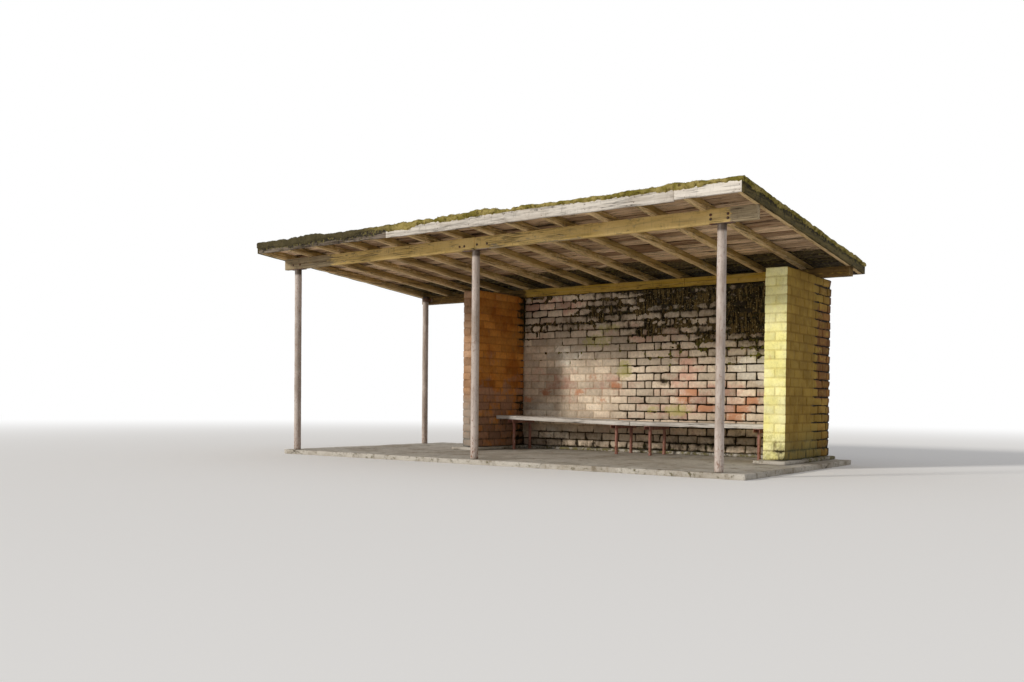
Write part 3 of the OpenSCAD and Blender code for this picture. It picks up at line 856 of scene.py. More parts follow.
def build_rafters(material):
    """Rafters let in over both beams: level notches where they bear on them."""
    seats = [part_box("front_beam_right"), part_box("rear_beam_middle")]
    edge, step = 0.003, 0.0004
    marks = []
    for low, high in seats:
        marks += [low.y - step, low.y, (low.y + high.y) / 2, high.y, high.y + step]
    for number, node in enumerate(RAFTERS):
        low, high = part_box(node)
        height = upright_height(low, high)
        regular = [y for y in stops(low.y, high.y, edge, 0.075)
                   if min(abs(y - mark) for mark in marks) > 0.012]
        part = block_from([stops(low.x, high.x, edge, 0.02), np.array(sorted(regular + marks)),
                           stops(-height, 0.0, edge, 0.03)], edge)
        level = part.points[:, 2].copy()
        weather(part, 1, 60 + number, bow=0.0, chips=0.006)
        sheared(part).points[:, 2] -= BOARD_THICK
        y = part.points[:, 1]
        for seat_low, seat_high in seats:
            bearing = (y > seat_low.y - step / 2) & (y < seat_high.y + step / 2) & (level < -height + 0.004)
            part.points[bearing, 2] = seat_high.z
        rng = np.random.default_rng(300 + number)
        soil = 0.2 * soft_step(y, 0.4, 1.5) + 0.03
        # painted highlight: the lower edge of each rafter shows its light bare wood, as if lit from below;
        # the random share is real wear
        lower_edge = soft_step(level, -height + 0.016, -height + 0.004)
        worn = np.clip(0.25 * rng.random() + 0.9 * lower_edge, 0, 1)
        part = with_values(part, 0.25 + 0.5 * rng.random(), soil, worn)
        make(node + "_timber", [part], material, [node])


def build_roof_boards(material):
    """Rows of sawn boards in odd lengths, with wavy edges, gaps and different thicknesses."""
    rng = np.random.default_rng(7)
    rows, end_gap, shortest = 19, 0.002, 0.45
    front, rear = (corner.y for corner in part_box("rafter_01"))
    pitch = (rear - front) / rows
    centres = [sum(corner.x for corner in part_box(node)) / 2 for node in RAFTERS]
    parts = []
    for row in range(rows):
        cuts = [BOARD_LOW.x]
        while cuts[-1] != BOARD_HIGH.x:
            onward = [place for place in centres if place > cuts[-1] + shortest]
            pick = rng.integers(0, 3)
            cuts.append(onward[pick] if pick < len(onward) - 1 else BOARD_HIGH.x)
        for x0, x1 in zip(cuts, cuts[1:]):
            inner = 1.0 if row > 1 else 0.35
            gaps = 0.002 + 0.008 * rng.random(2) + inner * 0.038 * rng.random(2) ** 1.6
            waves = inner * rng.uniform(0.005, 0.022, 2)
            skews = inner * rng.uniform(-0.012, 0.012, 2)
            y0, y1 = front + row * pitch, front + (row + 1) * pitch
            thick = BOARD_THICK + rng.uniform(-0.005, 0.003)
            part = block((x0 + end_gap, y0, -thick), (x1 - end_gap, y1, 0), 0.003, (0.09, 0.045, 0.05))
            seed = int(rng.integers(1000))
            x, y, z = part.points.T
            along = (x - x0) / (x1 - x0) - 0.5
            insets = []
            for side, length in enumerate((0.45, 0.5)):
                wave = waves[side] * smooth_noise(points_at(x), length, seed + side)
                insets.append(np.maximum(gaps[side] + wave + skews[side] * along, 0.001))
            share = (y - y0) / (y1 - y0)
            part.points[:, 1] += (1 - share) * insets[0] - share * insets[1]
            cup = rng.uniform(-0.004, 0.004)
            part.points[:, 2] += np.where(z < -0.004, cup * (2 * share - 1) ** 2, 0)
            weather(part, 0, seed, bow=0.0, chips=0.006)
            # painted shade: the value rises towards the back wall to darken the rear boards; the random term
            # is real dirt on a few boards
            soil = 0.08 + 0.26 * (rng.random() < 0.15) + 0.64 * soft_step(y, 0.3, 1.05)
            parts.append(sheared(with_values(part, rng.random(), soil)))
    make("roof_boarding", parts, material, ["roof_boards"])


def edge_board(node, steps, axis, seed, chips):
    """A board along an edge of the roof, with its top still level at height 0."""
    low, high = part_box(node)
    part = block((low.x, low.y, -upright_height(low, high)), (high.x, high.y, 0), 0.003, steps)
    return weather(part, axis, seed, bow=0.002, chips=chips)


def build_fascias(silver, grey):
    """Edge boards: three lengths in front, bright at the right and grey at the left, and one behind."""
    boards = (("fascia_left", grey, 0.3, 0.05, 0.0), ("fascia_middle", silver, 0.55, 0.0, 0.004),
              ("fascia_right", silver, 0.95, -0.14, -0.005))
    for number, (node, material, tone, dirt, sag) in enumerate(boards):
        part = edge_board(node, (0.04, 0.03, 0.018), 0, 80 + number, 0.014)
        x, _, z = part.points.T
        ragged = 0.006 * np.clip(rough_noise(points_at(x), 0.2, 3, 86), -0.2, 1)
        lower_edge = z < 0.004 - upright_height(*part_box(node))
        part.points[:, 2] += np.where(lower_edge, ragged, 0) - sag
        dark_end = soft_step(x, -0.7, -1.4)
        soil = 0.12 + dirt + (0.3 + 0.2 * dark_end) * soft_step(z, -0.085, -0.02) + 0.22 * dark_end
        make(node + "_board", [sheared(with_values(part, tone, soil))], material, [node])
    node = "rear_edge_board"
    part = edge_board(node, (0.07, 0.03, 0.03), 0, 90, 0.008)
    make("rear_edge_plank", [sheared(with_values(part, 0.3, 0.3))], grey, [node])


def build_rakes(material):
    """Sloping boards that close the roof at both ends."""
    for number, node in enumerate(("rake_board_left", "rake_board_right")):
        part = edge_board(node, (0.03, 0.05, 0.022), 1, 95 + number, 0.012)
        soil = 0.38 + 0.26 * soft_step(part.points[:, 2], -0.07, -0.01)
        make(node + "_plank", [sheared(with_values(part, 0.3, soil))], material, [node])


# Felt and moss

def felt_material():
    s = Shader("bitumen_felt")
    grit = s.noise(0.004, 3, 0.6)
    stain = s.noise(0.3, 5, 0.6, shift=4.0)
    colour = s.mix(grit, tint(40, 38, 30), tint(98, 94, 78))
    colour = s.stain(colour, stain, 0.42, 0.6, 0.8, tint(80, 76, 44))
    litter = s.ramp(s.noise(0.02, 5, 0.7, shift=9.0), 0.54, 0.64)
    colour = s.mix(litter * 0.7, colour, s.mix(grit, tint(74, 56, 32), tint(134, 122, 66)))
    return s.done(colour, 0.92, grit * 0.0012 + litter * 0.003 + stain * 0.003)


def moss_material():
    s = Shader("roof_moss")
    tuft = s.noise(0.014, 6, 0.75)
    clump = s.noise(0.09, 4, 0.6, shift=3.0)
    dry = s.noise(0.5, 4, 0.6, shift=9.0)
    x, y, _ = s.axes(s.object)
    left = s.ramp(x + dry * 1.2, -0.9, 0.0, 1.0, 0.0) * s.ramp(y, -1.3, -0.6, 1.0, 0.4)
    green = s.mix(tuft, tint(60, 54, 20), tint(148, 136, 58))
    straw = s.mix(tuft, tint(104, 86, 42), tint(196, 180, 112))
    colour = s.mix(s.ramp(clump + dry * 0.5, 0.62, 0.86), green, straw)
    colour = s.stain(colour, s.noise(0.035, 5, 0.7, shift=14.0), 0.5, 0.66, 0.8, tint(62, 46, 26))
    colour = s.mix(left * 0.88, colour, s.mix(tuft, tint(20, 17, 12), tint(90, 82, 62)))
    colour = s.stain(colour, s.value("tone"), 0.5, 1.0, 0.8, straw)
    return s.done(colour, 0.95, tuft * 0.01 + clump * 0.006)


def build_felt(material):
    """The felt, laid in strips along the roof, each lapping the one below, with a ragged edge."""
    parts = []
    width, lap, sheet = 0.98, 0.08, FELT_THICK * 0.7
    rng = np.random.default_rng(17)
    for strip in range(math.ceil((ROOF_REAR - ROOF_FRONT) / (width - lap))):
        y1 = ROOF_REAR - strip * (width - lap)
        y0 = max(ROOF_FRONT, y1 - width)
        base = (FELT_THICK - sheet) * (strip % 2)
        part = block((FELT_LOW.x, y0, base), (FELT_HIGH.x, y1, base + sheet), 0.0012, (0.08, 0.09, 0.02))
        x, y, _ = part.points.T
        part.points[:, 1] += np.where(y < y0 + 0.002, 0.004 * smooth_noise(part.points, 0.3, 71 + strip), 0)
        part.points[:, 2] += 0.0018 * smooth_noise(points_at(x, y), 0.25, 5)
        parts.append(sheared(with_values(part, rng.random())))
    make("felt_strips", parts, material, ["roof_felt"])


def domes(x, y, size, seed):
    """Rounded lumps from 0 to 1, one about every size metres."""
    u, v = x / size, y / size
    cell_u, cell_v = np.floor(u), np.floor(v)
    best = np.zeros(len(x))
    for du, dv in itertools.product((-1, 0, 1), repeat=2):
        # each cell's own place and radius, which depend only on its number
        at_u, at_v = cell_u + du, cell_v + dv
        mixed = at_u * 127.1 + at_v * 311.7 + seed * 17.3
        jitter_u = (np.sin(mixed) * 43758.5453) % 1
        jitter_v = (np.sin(mixed * 1.7 + 3.1) * 24634.6345) % 1
        radius = 0.45 + 0.55 * ((np.sin(mixed * 2.3 + 1.7) * 9871.123) % 1)
        far = ((u - at_u - jitter_u) ** 2 + (v - at_v - jitter_v) ** 2) / radius ** 2
        best = np.maximum(best, radius * np.sqrt(np.clip(1 - far, 0, 1)))
    return best


def moss_height(x, y):
    """Height of the moss over the felt. It is thick along the front edge and patchy behind."""
    flat = points_at(x, y)
    front = soft_step(y, ROOF_FRONT + 0.55, ROOF_FRONT + 0.05)
    cover = rough_noise(flat, 0.6, 3, 61) + 0.76 + 0.55 * front + 0.55 * rough_noise(flat, 0.07, 3, 66)
    share = soft_step(cover, 0.0, 0.4)
    lumps = 0.55 * domes(x, y, 0.17, 1) + 0.45 * domes(x, y, 0.06, 2)
    tall = 0.024 + 0.014 * smooth_noise(flat, 0.5, 63)
    tall += front * 0.022 * np.clip(smooth_noise(flat, 0.45, 65) + 0.3, 0, 1)
    tall += front * 0.016 * soft_step(np.abs(x + 0.3), 0.9, 0.5)
    return share * (0.006 + tall * lumps + 0.003 * rough_noise(flat, 0.03, 2, 64)) - 0.004 * (1 - share)


def moss_fringe(run, face, inward, reach, seed):
    """Moss over an edge of the roof: lumps that stand proud of the board's face and hang down it.

    run is the axis along the edge, face the place of the board's face, inward the way into the roof.
    """
    start, end = ((FELT_LOW.x, FELT_HIGH.x), (ROOF_FRONT, ROOF_REAR))[run]
    stations = np.linspace(start + 0.004, end - 0.004, round((end - start) / 0.012))
    deepest, proud, sunk, back = 0.09, 0.02, 0.006, 0.032
    part = block_from([stations, np.array([0.0, 1.0]), np.linspace(0, 1, 13)], 0.0)
    along, depth, level = part.points.T
    edge = np.full(len(along), face)
    top = FELT_THICK + np.maximum(moss_height(*((along, edge) if run == 0 else (edge, along))), 0.0)
    up = -deepest + level * (top + deepest)
    droop = reach * np.clip(0.35 + 0.9 * rough_noise(points_at(along), 0.4, 5, seed), 0.0, 1.2) + 0.004
    if run == 0:
        droop *= 0.5 + 0.6 * soft_step(along, 0.6, 0.1)
    ragged = up + 0.02 * rough_noise(points_at(along, 0.0, up), 0.03, 2, seed + 1)
    cover = soft_step(ragged, -droop - 0.008, -droop + 0.01)
    lumps = 0.25 + 0.45 * domes(along, up + 5, 0.06, seed) + 0.3 * domes(along, up + 5, 0.022, seed + 3)
    shoulder = np.sqrt(np.clip((top - up) / 0.02, 0, 1))
    outward = cover * (sunk + proud * lumps * shoulder)
    across = face + inward * np.where(depth > 0.5, back, sunk - outward)
    if run == 0:
        part.points = points_at(along, across, up + deck_z(ROOF_FRONT))
    else:
        part.points = points_at(across, along, up + deck_z(along))
    if (inward > 0) == (run == 1):
        part.quads = part.quads[:, ::-1]
    return with_values(part, 0.5)


def build_tufts(material):
    """Small pointed shoots that stand up from the moss, closest along the front and side edges."""
    rng = np.random.default_rng(77)
    front, side, spread = 1500, 500, 900
    left, right, inset = FELT_LOW.x + 0.01, FELT_HIGH.x - 0.01, 0.01
    x = np.concatenate([rng.uniform(left, right, front), right - 0.12 * rng.random(side) ** 2,
                        rng.uniform(left, right, spread)])
    y = np.concatenate([ROOF_FRONT + 0.006 + 0.2 * rng.random(front) ** 2,
                        rng.uniform(ROOF_FRONT + inset, ROOF_REAR - inset, side),
                        rng.uniform(ROOF_FRONT + inset, ROOF_REAR - inset, spread)])
    around, sunk = 5, 0.004
    parts = []
    for place_x, place_y, height in zip(x, y, moss_height(x, y)):
        wide, tall = rng.uniform(0.003, 0.006), rng.uniform(0.006, 0.015)
        lean = rng.normal(0, 0.004, 2)
        if height > sunk:
            shoot = tube((place_x, place_y, FELT_THICK + height - sunk), [(0, wide)], around)
            shoot.points[-1] += (*lean, tall)
            parts.append(sheared(with_values(shoot, rng.uniform(0.5, 1.0))))
    make("moss_tufts", parts, material)


def build_moss(material):
    """The moss on the felt, and what hangs from it over the front and side edges."""
    x = np.linspace(FELT_LOW.x, FELT_HIGH.x, 300)
    y = ROOF_FRONT + (ROOF_REAR - ROOF_FRONT) * np.linspace(0, 1, 141) ** 1.25
    base = FELT_THICK / 2
    part = block_from([x, y, np.array([0.0, 1.0])], 0.0)
    x, y, side = part.points.T
    top = FELT_THICK + moss_height(x, y)
    part.points[:, 2] = np.where(side > 0.5, np.maximum(top, base + 0.001), base)
    make("moss_carpet", [sheared(with_values(part, 0.5))], material, sharp=80)
    edges = ((0, ROOF_FRONT, 1, 0.05, 68), (1, FELT_HIGH.x, -1, 0.035, 69), (1, FELT_LOW.x, 1, 0.035, 70))
    make("moss_fringe", [moss_fringe(*edge) for edge in edges], material, sharp=80)
    build_tufts(material)


# Steel

POST_PLACES = ("front_left", "front_middle", "front_right", "rear_left")


def painted_steel(name, paints, rust_share):
    """Old paint on steel pipe: chalky patches, chips and rust, with streaks that run down."""
    s = Shader(name)
    blotch = s.noise(0.16, 5, 0.65, (1, 1, 2.5))
    chips = s.noise(0.02, 6, 0.75, (1, 1, 1.6), shift=6.0)
    runs = s.noise(0.02, 4, 0.6, (1, 1, 16), shift=11.0)
    chalk = s.noise(0.05, 5, 0.7, (1, 1, 5), shift=19.0)
    foot = s.ramp(s.axes(s.object)[2], 0.08, 0.45, 1.0, 0.0)
    colour = s.mix(s.ramp(blotch, 0.36, 0.64), paints[0], paints[1])
    colour = s.stain(colour, runs, 0.5, 0.72, 0.55, paints[2])
    colour = s.stain(colour, chalk, 0.56, 0.7, 0.5, tint(196, 190, 182))
    share = foot * 0.06 + rust_share - chips
    rust = s.ramp(share, -0.03, 0.03)
    rust_colour = s.mix(s.noise(0.01, 4, 0.6, shift=30.0), tint(66, 36, 22), tint(140, 84, 52))
    colour = s.mix(rust, colour, rust_colour)
    halo = s.ramp(share, -0.12, -0.02, 0.0, 0.5)
    colour = s.mix(halo * (1.0 - rust), colour, tint(140, 104, 84))
    colour = s.mix(s.value("soil") * 0.9, colour, s.mix(chips, tint(36, 28, 22), tint(84, 66, 50)))
    height = rust * (s.noise(0.006, 4, shift=8.0) * 0.0012 - 0.0005) + runs * 0.0003
    return s.done(colour, rust * 0.35 + 0.5, height, 0.3)


def build_posts(material):
    """Pipes with small dents, a weld seam and a dark band where the bracket holds them."""
    rounding, seam_angle, seam_width, seam_height = 0.003, -0.6, 0.06, 0.0012
    for number, place in enumerate(POST_PLACES):
        node = "post_" + place
        low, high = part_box(node)
        middle = [(low.x + high.x) / 2, (low.y + high.y) / 2]
        radius, length = (high.x - low.x) / 2, high.z - low.z
        rings = [(level, radius) for level in np.linspace(rounding, length - rounding, 90)]
        profile = [(0, radius - rounding), *rings, (length, radius - rounding)]
        part = tube((*middle, low.z), profile, 40)
        x, y, z = part.points.T
        dents = 0.0011 * smooth_noise(part.points, (0.07, 0.07, 0.3), 100 + number)
        dents += 0.0007 * smooth_noise(part.points, (0.03, 0.03, 0.03), 110 + number)
        turn = np.arctan2(y - middle[1], x - middle[0]) - seam_angle
        seam = seam_height * np.exp(-(turn / seam_width) ** 2)
        away = part.points[:, :2] - middle
        reach = np.maximum(np.linalg.norm(away, axis=1), 1e-6)
        shell = reach > radius * 0.5
        part.points[shell, :2] += (away / reach[:, None] * (dents + seam)[:, None])[shell]
        band = soft_step(z, high.z - 0.08, high.z - 0.07)
        make(node + "_pipe", [with_values(part, 0.5, band)], material, [node], sharp=50)


def bolt_head(place):
    """Bolt head on its washer, standing out to the front: a hexagon over a disc."""
    size, sheet = 0.014, 0.0025
    washer = tube((0, 0, 0), [(0, size), (0.002, size), (sheet, size * 0.94)], 20)
    head = tube((0, 0, sheet), [(0, size * 0.6), (0.006, size * 0.6), (0.0075, size * 0.5)], 6)
    for part in (washer, head):
        facing_front(part).points += place
    return [with_values(washer, 0.4), with_values(head, 0.5)]


BOLTS = [(2.80, 2.5), (2.80, 2.46), (2.975, 2.495), (2.975, 2.455), (-0.28, 2.465), (-0.213, 2.465),
         (-0.03, 2.47), (0.112, 2.47), (-3.1, 2.47), (-2.97, 2.47)]


def build_bolts(material):
    """Bolt heads through the front beam at its brackets."""
    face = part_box("front_beam_right")[0].y
    parts = []
    for x, z in BOLTS:
        parts += bolt_head((x, face - 0.0005, z))
    make("beam_bolts", parts, material)


# Benches

def build_seats(material):
    """Two planks side by side on each bench, a little higher at its left end."""
    gap = 0.04
    for number, node in enumerate(("bench_left_seat", "bench_right_seat")):
        low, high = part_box(node)
        rise = high.z - low.z - PLANK_THICK
        width = (high.y - low.y - gap) / 2
        parts = []
        for plank, y in enumerate((low.y, high.y - width)):
            part = block((low.x, y, 0.0), (high.x, y + width, PLANK_THICK), 0.005, (0.06, 0.04, 0.025))
            weather(part, 0, 130 + 10 * number + plank, bow=0.0015, chips=0.01)
            part.points[:, 2] += low.z + rise * np.clip((high.x - part.points[:, 0]) / (high.x - low.x), 0, 1)
            parts.append(with_values(part, 0.5 + 0.25 * plank))
        make(node + "_planks", parts, material, [node])


def build_trestles(material):
    """Bench legs in pipe with a weld at the top, under a channel that carries the planks."""
    width, depth, sheet = 0.08, 0.045, 0.006
    radius, inset, spread = 0.02, 0.09, 0.37
    for number, side in enumerate(("left", "right")):
        node = "bench_" + side + "_frame"
        low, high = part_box(node)
        seat_low, seat_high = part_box("bench_" + side + "_seat")
        rise = seat_high.z - seat_low.z - PLANK_THICK
        parts = []
        for trestle, x in enumerate((low.x + width / 2, high.x - width / 2)):
            top = seat_low.z + rise * max(0.0, seat_high.x - x) / (seat_high.x - seat_low.x) - 0.001
            left, right = x - width / 2, x + width / 2
            for start, end, bottom, upper in ((left, right, top - sheet, top),
                                              (left, left + sheet, top - depth, top - 0.001),
                                              (right - sheet, right, top - depth, top - 0.001)):
                strip = block((start, low.y, bottom), (end, high.y, upper), 0.0015, (0.02, 0.05, 0.02))
                parts.append(with_values(weather(strip, 1, 160 + trestle, bow=0.0, chips=0.004), 0.5))
            tall = top - sheet / 2 - low.z
            profile = [(0, radius + 0.004), (0.006, radius + 0.002), (0.02, radius),
                       *[(level, radius) for level in np.linspace(0.05, tall - 0.03, 10)],
                       (tall - 0.012, radius + 0.003), (tall - 0.006, radius + 0.006), (tall, radius + 0.006)]
            for leg in (0, 1):
                part = tube((x, low.y + inset + leg * spread, low.z), profile, 24)
                points = part.points
                bend = 0.003 * np.sin((points[:, 2] - low.z) / tall * math.pi)
                points[:, 0] += bend * (1 if leg else -1)
                points[:, :2] += 0.0012 * smooth_noise(points, 0.05, 170 + 4 * number + leg)[:, None]
                parts.append(with_values(part, 0.5))
        make(node + "_trestles", parts, material, [node], sharp=50)


def build_nails(material):
    """Nail heads through the front edge boards into the ends of the rafters."""
    rng = np.random.default_rng(91)
    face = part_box("fascia_middle")[0].y
    radius = 0.0045
    parts = []
    for node in RAFTERS:
        low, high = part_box(node)
        for level in (-0.035, -0.085):
            x = (low.x + high.x) / 2 + rng.uniform(-0.012, 0.012)
            z = deck_z(ROOF_FRONT) + level + rng.uniform(-0.006, 0.006)
            head = facing_front(tube((0, 0, 0), [(0, radius), (0.0015, radius), (0.0025, 0.003)], 10))
            head.points += (x, face + 0.001, z)
            parts.append(with_values(head, 0.5))
    make("fascia_nails", parts, material)


def dress_node(name, material):
    """Gives a CAD node that keeps its shape another material."""
    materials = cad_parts[name].data.materials
    materials.clear()
    materials.append(material)


# Concrete

def concrete_material():
    s = Shader("old_concrete")
    sand = s.noise(0.004, 4, 0.6)
    stone = s.cells(0.02, shift=3.0)
    stain = s.noise(0.5, 6, 0.62, shift=7.0)
    dirt = s.noise(0.12, 6, 0.74, shift=13.0)
    colour = s.mix(sand, tint(156, 150, 140), tint(214, 208, 196))
    colour = s.mix(s.ramp(stone, 0.12, 0.3, 0.35, 0.0), colour, tint(112, 106, 98))
    colour = s.stain(colour, stain, 0.42, 0.62, 0.5, tint(142, 130, 112))
    colour = s.stain(colour, dirt, 0.5, 0.68, 0.7, tint(104, 90, 68))
    # cracks along the edges of large cells, bent by a coarse noise
    wander = s.node("TexNoise", {"Vector": s.object, "Scale": 2.2, "Detail": 6.0, "Roughness": 0.65})
    bent = s.node("VectorMath", {0: wander.outputs[1], 1: (0.35, 0.35, 0.0), 2: s.object},
                  operation="MULTIPLY_ADD")
    seams = s.node("TexVoronoi", {"Vector": bent.outputs[0], "Scale": 0.55}, feature="DISTANCE_TO_EDGE")
    crack = s.ramp(seams.outputs[0], 0.0, 0.0035, 1.0, 0.0) * s.ramp(stain, 0.42, 0.52)
    colour = s.mix(crack * 0.85, colour, tint(46, 40, 30))
    moss = s.ramp(s.value("soil") - s.noise(0.06, 6, 0.75, shift=20.0), -0.05, 0.05)
    moss_colour = s.mix(s.noise(0.02, 5, 0.7, shift=27.0), tint(62, 56, 28), tint(128, 118, 62))
    colour = s.mix(moss * 0.85, colour, moss_colour)
    height = sand * 0.0015 + s.ramp(stone, 0.1, 0.3, 1.0, 0.0) * 0.0012 + moss * 0.004 - crack * 0.004
    return s.done(colour, 0.9, height)


def build_slab(material):
    """The floor slab, with a broken rim and a slightly uneven top."""
    low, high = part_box("floor_slab")
    part = block(low, high, 0.006, (0.045, 0.05, 0.03))
    points = part.points
    x, y, z = points.T
    rim = np.minimum.reduce([x - low.x, high.x - x, y - low.y, high.y - y])
    broken = np.clip(rough_noise(points, 0.16, 3, 141), 0, 1) * np.clip(1 - rim / 0.05, 0, 1)
    for axis in (0, 1):
        middle = (low[axis] + high[axis]) / 2
        points[:, axis] -= np.sign(points[:, axis] - middle) * broken * 0.03
    sunk = 0.0025 + 0.0025 * rough_noise(points, 0.5, 3, 142) + 0.012 * broken
    points[:, 2] -= np.where(z > high.z - 0.007, sunk, 0)
    soil = 0.38 * soft_step(rim, 0.3, 0.0) + 0.2 * spots(x, y, [(-2.2, 0.4, 0.9, 1.2, 1.0)])
    make("floor_concrete", [with_values(part, 0.5, soil)], material, ["floor_slab"])


def build_footing(material):
    """Strip under the walls: three lengths of rough concrete, broken at their front ends."""
    low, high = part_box("wall_footing")
    ledge, overlap = 0.06, 0.02
    inner_left, inner_right = ROOM_LEFT + ledge, ROOM_RIGHT - ledge
    inner_rear = BACK_LOW.y - ledge
    parts = []
    for left, right, front, rear in ((low.x, inner_left, low.y, inner_rear + overlap),
                                     (inner_right, high.x, low.y, inner_rear + overlap),
                                     (low.x, high.x, inner_rear, high.y)):
        part = block((left, front, low.z), (right, rear, high.z), 0.006, (0.035, 0.035, 0.02))
        points = part.points
        rim_front = soft_step(points[:, 1], low.y + 0.12, low.y)
        points[:, 1] += rim_front * 0.05 * np.clip(rough_noise(points, 0.12, 3, 151) + 0.2, 0, 1)
        sunk = 0.003 + 0.016 * np.clip(rough_noise(points, 0.09, 3, 152), 0, 1)
        points[:, 2] -= np.where(points[:, 2] > high.z - 0.007, sunk, 0)
        for axis in (0, 1):
            points[:, axis] += 0.004 * smooth_noise(points, 0.06, 153 + axis)
        parts.append(with_values(part, 0.5, 0.2 + 0.3 * soft_step(points[:, 1], 0.3, 0.9)))
    make("footing_concrete", parts, material, ["wall_footing"])


# Stage, light and camera

CAMERA_PLACE = (6.7521, -9.9032, 0.7081)
CAMERA_YAW, CAMERA_PITCH, CAMERA_ROLL = -36.34, -1.071, 0.551
FOCAL_PIXELS, HORIZON_PIXEL = 966.54, 420.0
PICTURE_WIDTH, PICTURE_HEIGHT = 1024, 682
FILL_LIGHT, KEY_STRENGTH = 0.5, 2.35
KEY_AZIMUTH, KEY_HEIGHT, KEY_SOFTNESS = 33.0, 19.5, 8.0
FLOOR_SIZE, FADE_START, FADE_END = 60, 6.0, 26.0


def build_camera():
    """The camera that was fitted to the photograph."""
    yaw, pitch, roll = (math.radians(angle) for angle in (CAMERA_YAW, CAMERA_PITCH, CAMERA_ROLL))
    ahead = np.array([math.sin(yaw) * math.cos(pitch), math.cos(yaw) * math.cos(pitch), math.sin(pitch)])
    side = np.array([math.cos(yaw), -math.sin(yaw), 0])
    up = np.cross(side, ahead)
    right = side * math.cos(roll) + up * math.sin(roll)
    above = up * math.cos(roll) - side * math.sin(roll)
    data = bpy.data.cameras.new("camera")
    data.sensor_width = 36
    data.lens = FOCAL_PIXELS / PICTURE_WIDTH * data.sensor_width
    data.shift_y = (HORIZON_PIXEL - PICTURE_HEIGHT / 2) / PICTURE_WIDTH
    data.clip_end = 200
    camera = bpy.data.objects.new("camera", data)
    place = np.eye(4)
    place[:3, 0], place[:3, 1], place[:3, 2], place[:3, 3] = right, above, -ahead, CAMERA_PLACE
    camera.matrix_world = Matrix(place.tolist())
    bpy.context.scene.collection.objects.link(camera)
    bpy.context.scene.camera = camera


def background_rays(s):
    """1 for the rays that see the background itself, 0 for those that only gather light."""
    path = s.node("LightPath").outputs
    seen = s.math("MAXIMUM", path["Is Camera Ray"], path["Is Glossy Ray"])
    return s.math("MAXIMUM", seen, path["Is Transmission Ray"])


def build_floor():
    """A floor that fades to white with its distance from the shelter."""
    s = Shader("studio_floor")
    x, y, _ = s.axes(s.object)
    fade = s.ramp(s.math("SQRT", x * x + y * y), FADE_START, FADE_END)
    diffuse = s.node("BsdfDiffuse", {"Color": (0.9, 0.89, 0.87, 1)})
    white = s.node("Emission", {"Color": (1, 1, 1, 1), "Strength": 1.0})
    shader = s.node("MixShader", {0: fade * background_rays(s), 1: diffuse.outputs[0], 2: white.outputs[0]})
    s.node("OutputMaterial", {"Surface": shader.outputs[0]})
    mesh = bpy.data.meshes.new("studio_floor")
    corners = [(x * FLOOR_SIZE, y * FLOOR_SIZE, 0) for x, y in ((-1, -1), (1, -1), (1, 1), (-1, 1))]
    mesh.from_pydata(corners, [], [(0, 1, 2, 3)])
    mesh.materials.append(s.owner)
    floor = bpy.data.objects.new("studio_floor", mesh)
    bpy.context.scene.collection.objects.link(floor)


def build_world():
    """Soft light from all round, behind a white background."""
    s = Shader("studio", bpy.data.worlds)
    soft = s.node("Background", {"Color": (0.98, 0.98, 1.0, 1), "Strength": FILL_LIGHT})
    white = s.node("Background", {"Color": (1, 1, 1, 1)})
    both = s.node("MixShader", {0: background_rays(s), 1: soft.outputs[0], 2: white.outputs[0]})
    s.node("OutputWorld", {"Surface": both.outputs[0]})
    bpy.context.scene.world = s.owner


def build_light():
    """A soft key from the front left, low as in an afternoon, and the plain view transform."""
    data = bpy.data.lights.new("key", "SUN")
    data.energy = KEY_STRENGTH
    data.angle = math.radians(KEY_SOFTNESS)
    data.color = (1.0, 0.96, 0.9)
    lamp = bpy.data.objects.new("key", data)
    lamp.rotation_euler = (math.radians(90 - KEY_HEIGHT), 0, -math.radians(KEY_AZIMUTH))
    bpy.context.scene.collection.objects.link(lamp)
    bpy.context.scene.view_settings.view_transform = "Standard"


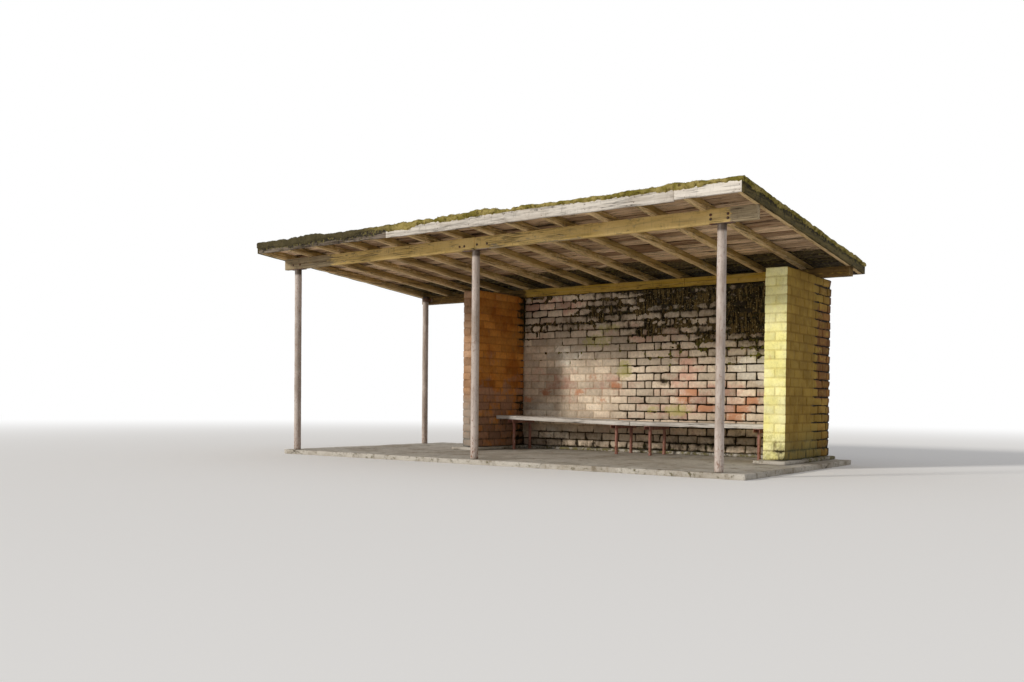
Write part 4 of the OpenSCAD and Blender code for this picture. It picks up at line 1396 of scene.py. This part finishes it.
def build_shelter():
    build_walls()
    ochre = timber("ochre_painted_timber", "X", (tint(118, 100, 70), tint(196, 178, 146)),
                   (tint(234, 202, 132), tint(206, 172, 96)), 0.60, streaks=0.25)
    plate = timber("rear_beam_timber", "X", (tint(82, 62, 34), tint(150, 120, 72)),
                   (tint(188, 148, 44), tint(204, 168, 74)), 0.6, streaks=0.5)
    # The rafters' darker paint is partly painted shade on their sides, and their light bare wood is a painted
    # highlight on their lower edges.
    rafter = timber("rafter_timber_painted_shade_and_highlight", "Y", (tint(176, 146, 96), tint(240, 212, 164)),
                    (tint(142, 114, 58), tint(172, 142, 82)), 0.62, streaks=0.5)
    sawn = timber("sawn_board_timber", "X", (tint(122, 90, 62), tint(244, 212, 174)), drips=0.15, streaks=0.8)
    silver = timber("silver_board_timber", "X", (tint(134, 120, 104), tint(230, 222, 210)), silver=0.5,
                    streaks=0.4)
    grey = timber("grey_board_timber", "X", (tint(82, 70, 58), tint(172, 158, 142)), moss_share=0.08,
                  streaks=0.5)
    mossy = timber("mossy_board_timber", "Y", (tint(62, 54, 30), tint(130, 116, 74)), moss_share=0.06,
                   streaks=0.5)
    seat = timber("bench_plank_timber", "X", (tint(150, 142, 132), tint(236, 230, 222)), silver=0.6,
                  drips=0.15)
    build_front_beam(ochre)
    build_rear_beam(plate)
    build_rafters(rafter)
    build_roof_boards(sawn)
    build_fascias(silver, grey)
    build_rakes(mossy)
    build_felt(felt_material())
    build_moss(moss_material())
    post = painted_steel("post_old_paint",
                         (tint(192, 179, 169), tint(160, 146, 134), tint(112, 90, 76)), 0.35)
    red = painted_steel("bench_old_paint", (tint(158, 112, 98), tint(140, 88, 76), tint(96, 60, 50)), 0.4)
    iron = painted_steel("bracket_old_steel", (tint(70, 60, 50), tint(86, 74, 58), tint(48, 40, 32)), 0.46)
    build_posts(post)
    for place in POST_PLACES:
        dress_node("bracket_" + place, iron)
    build_trestles(red)
    build_bolts(iron)
    build_nails(iron)
    build_seats(seat)
    stone = concrete_material()
    build_slab(stone)
    build_footing(stone)


build_camera()
build_floor()
build_world()
build_light()
build_shelter()
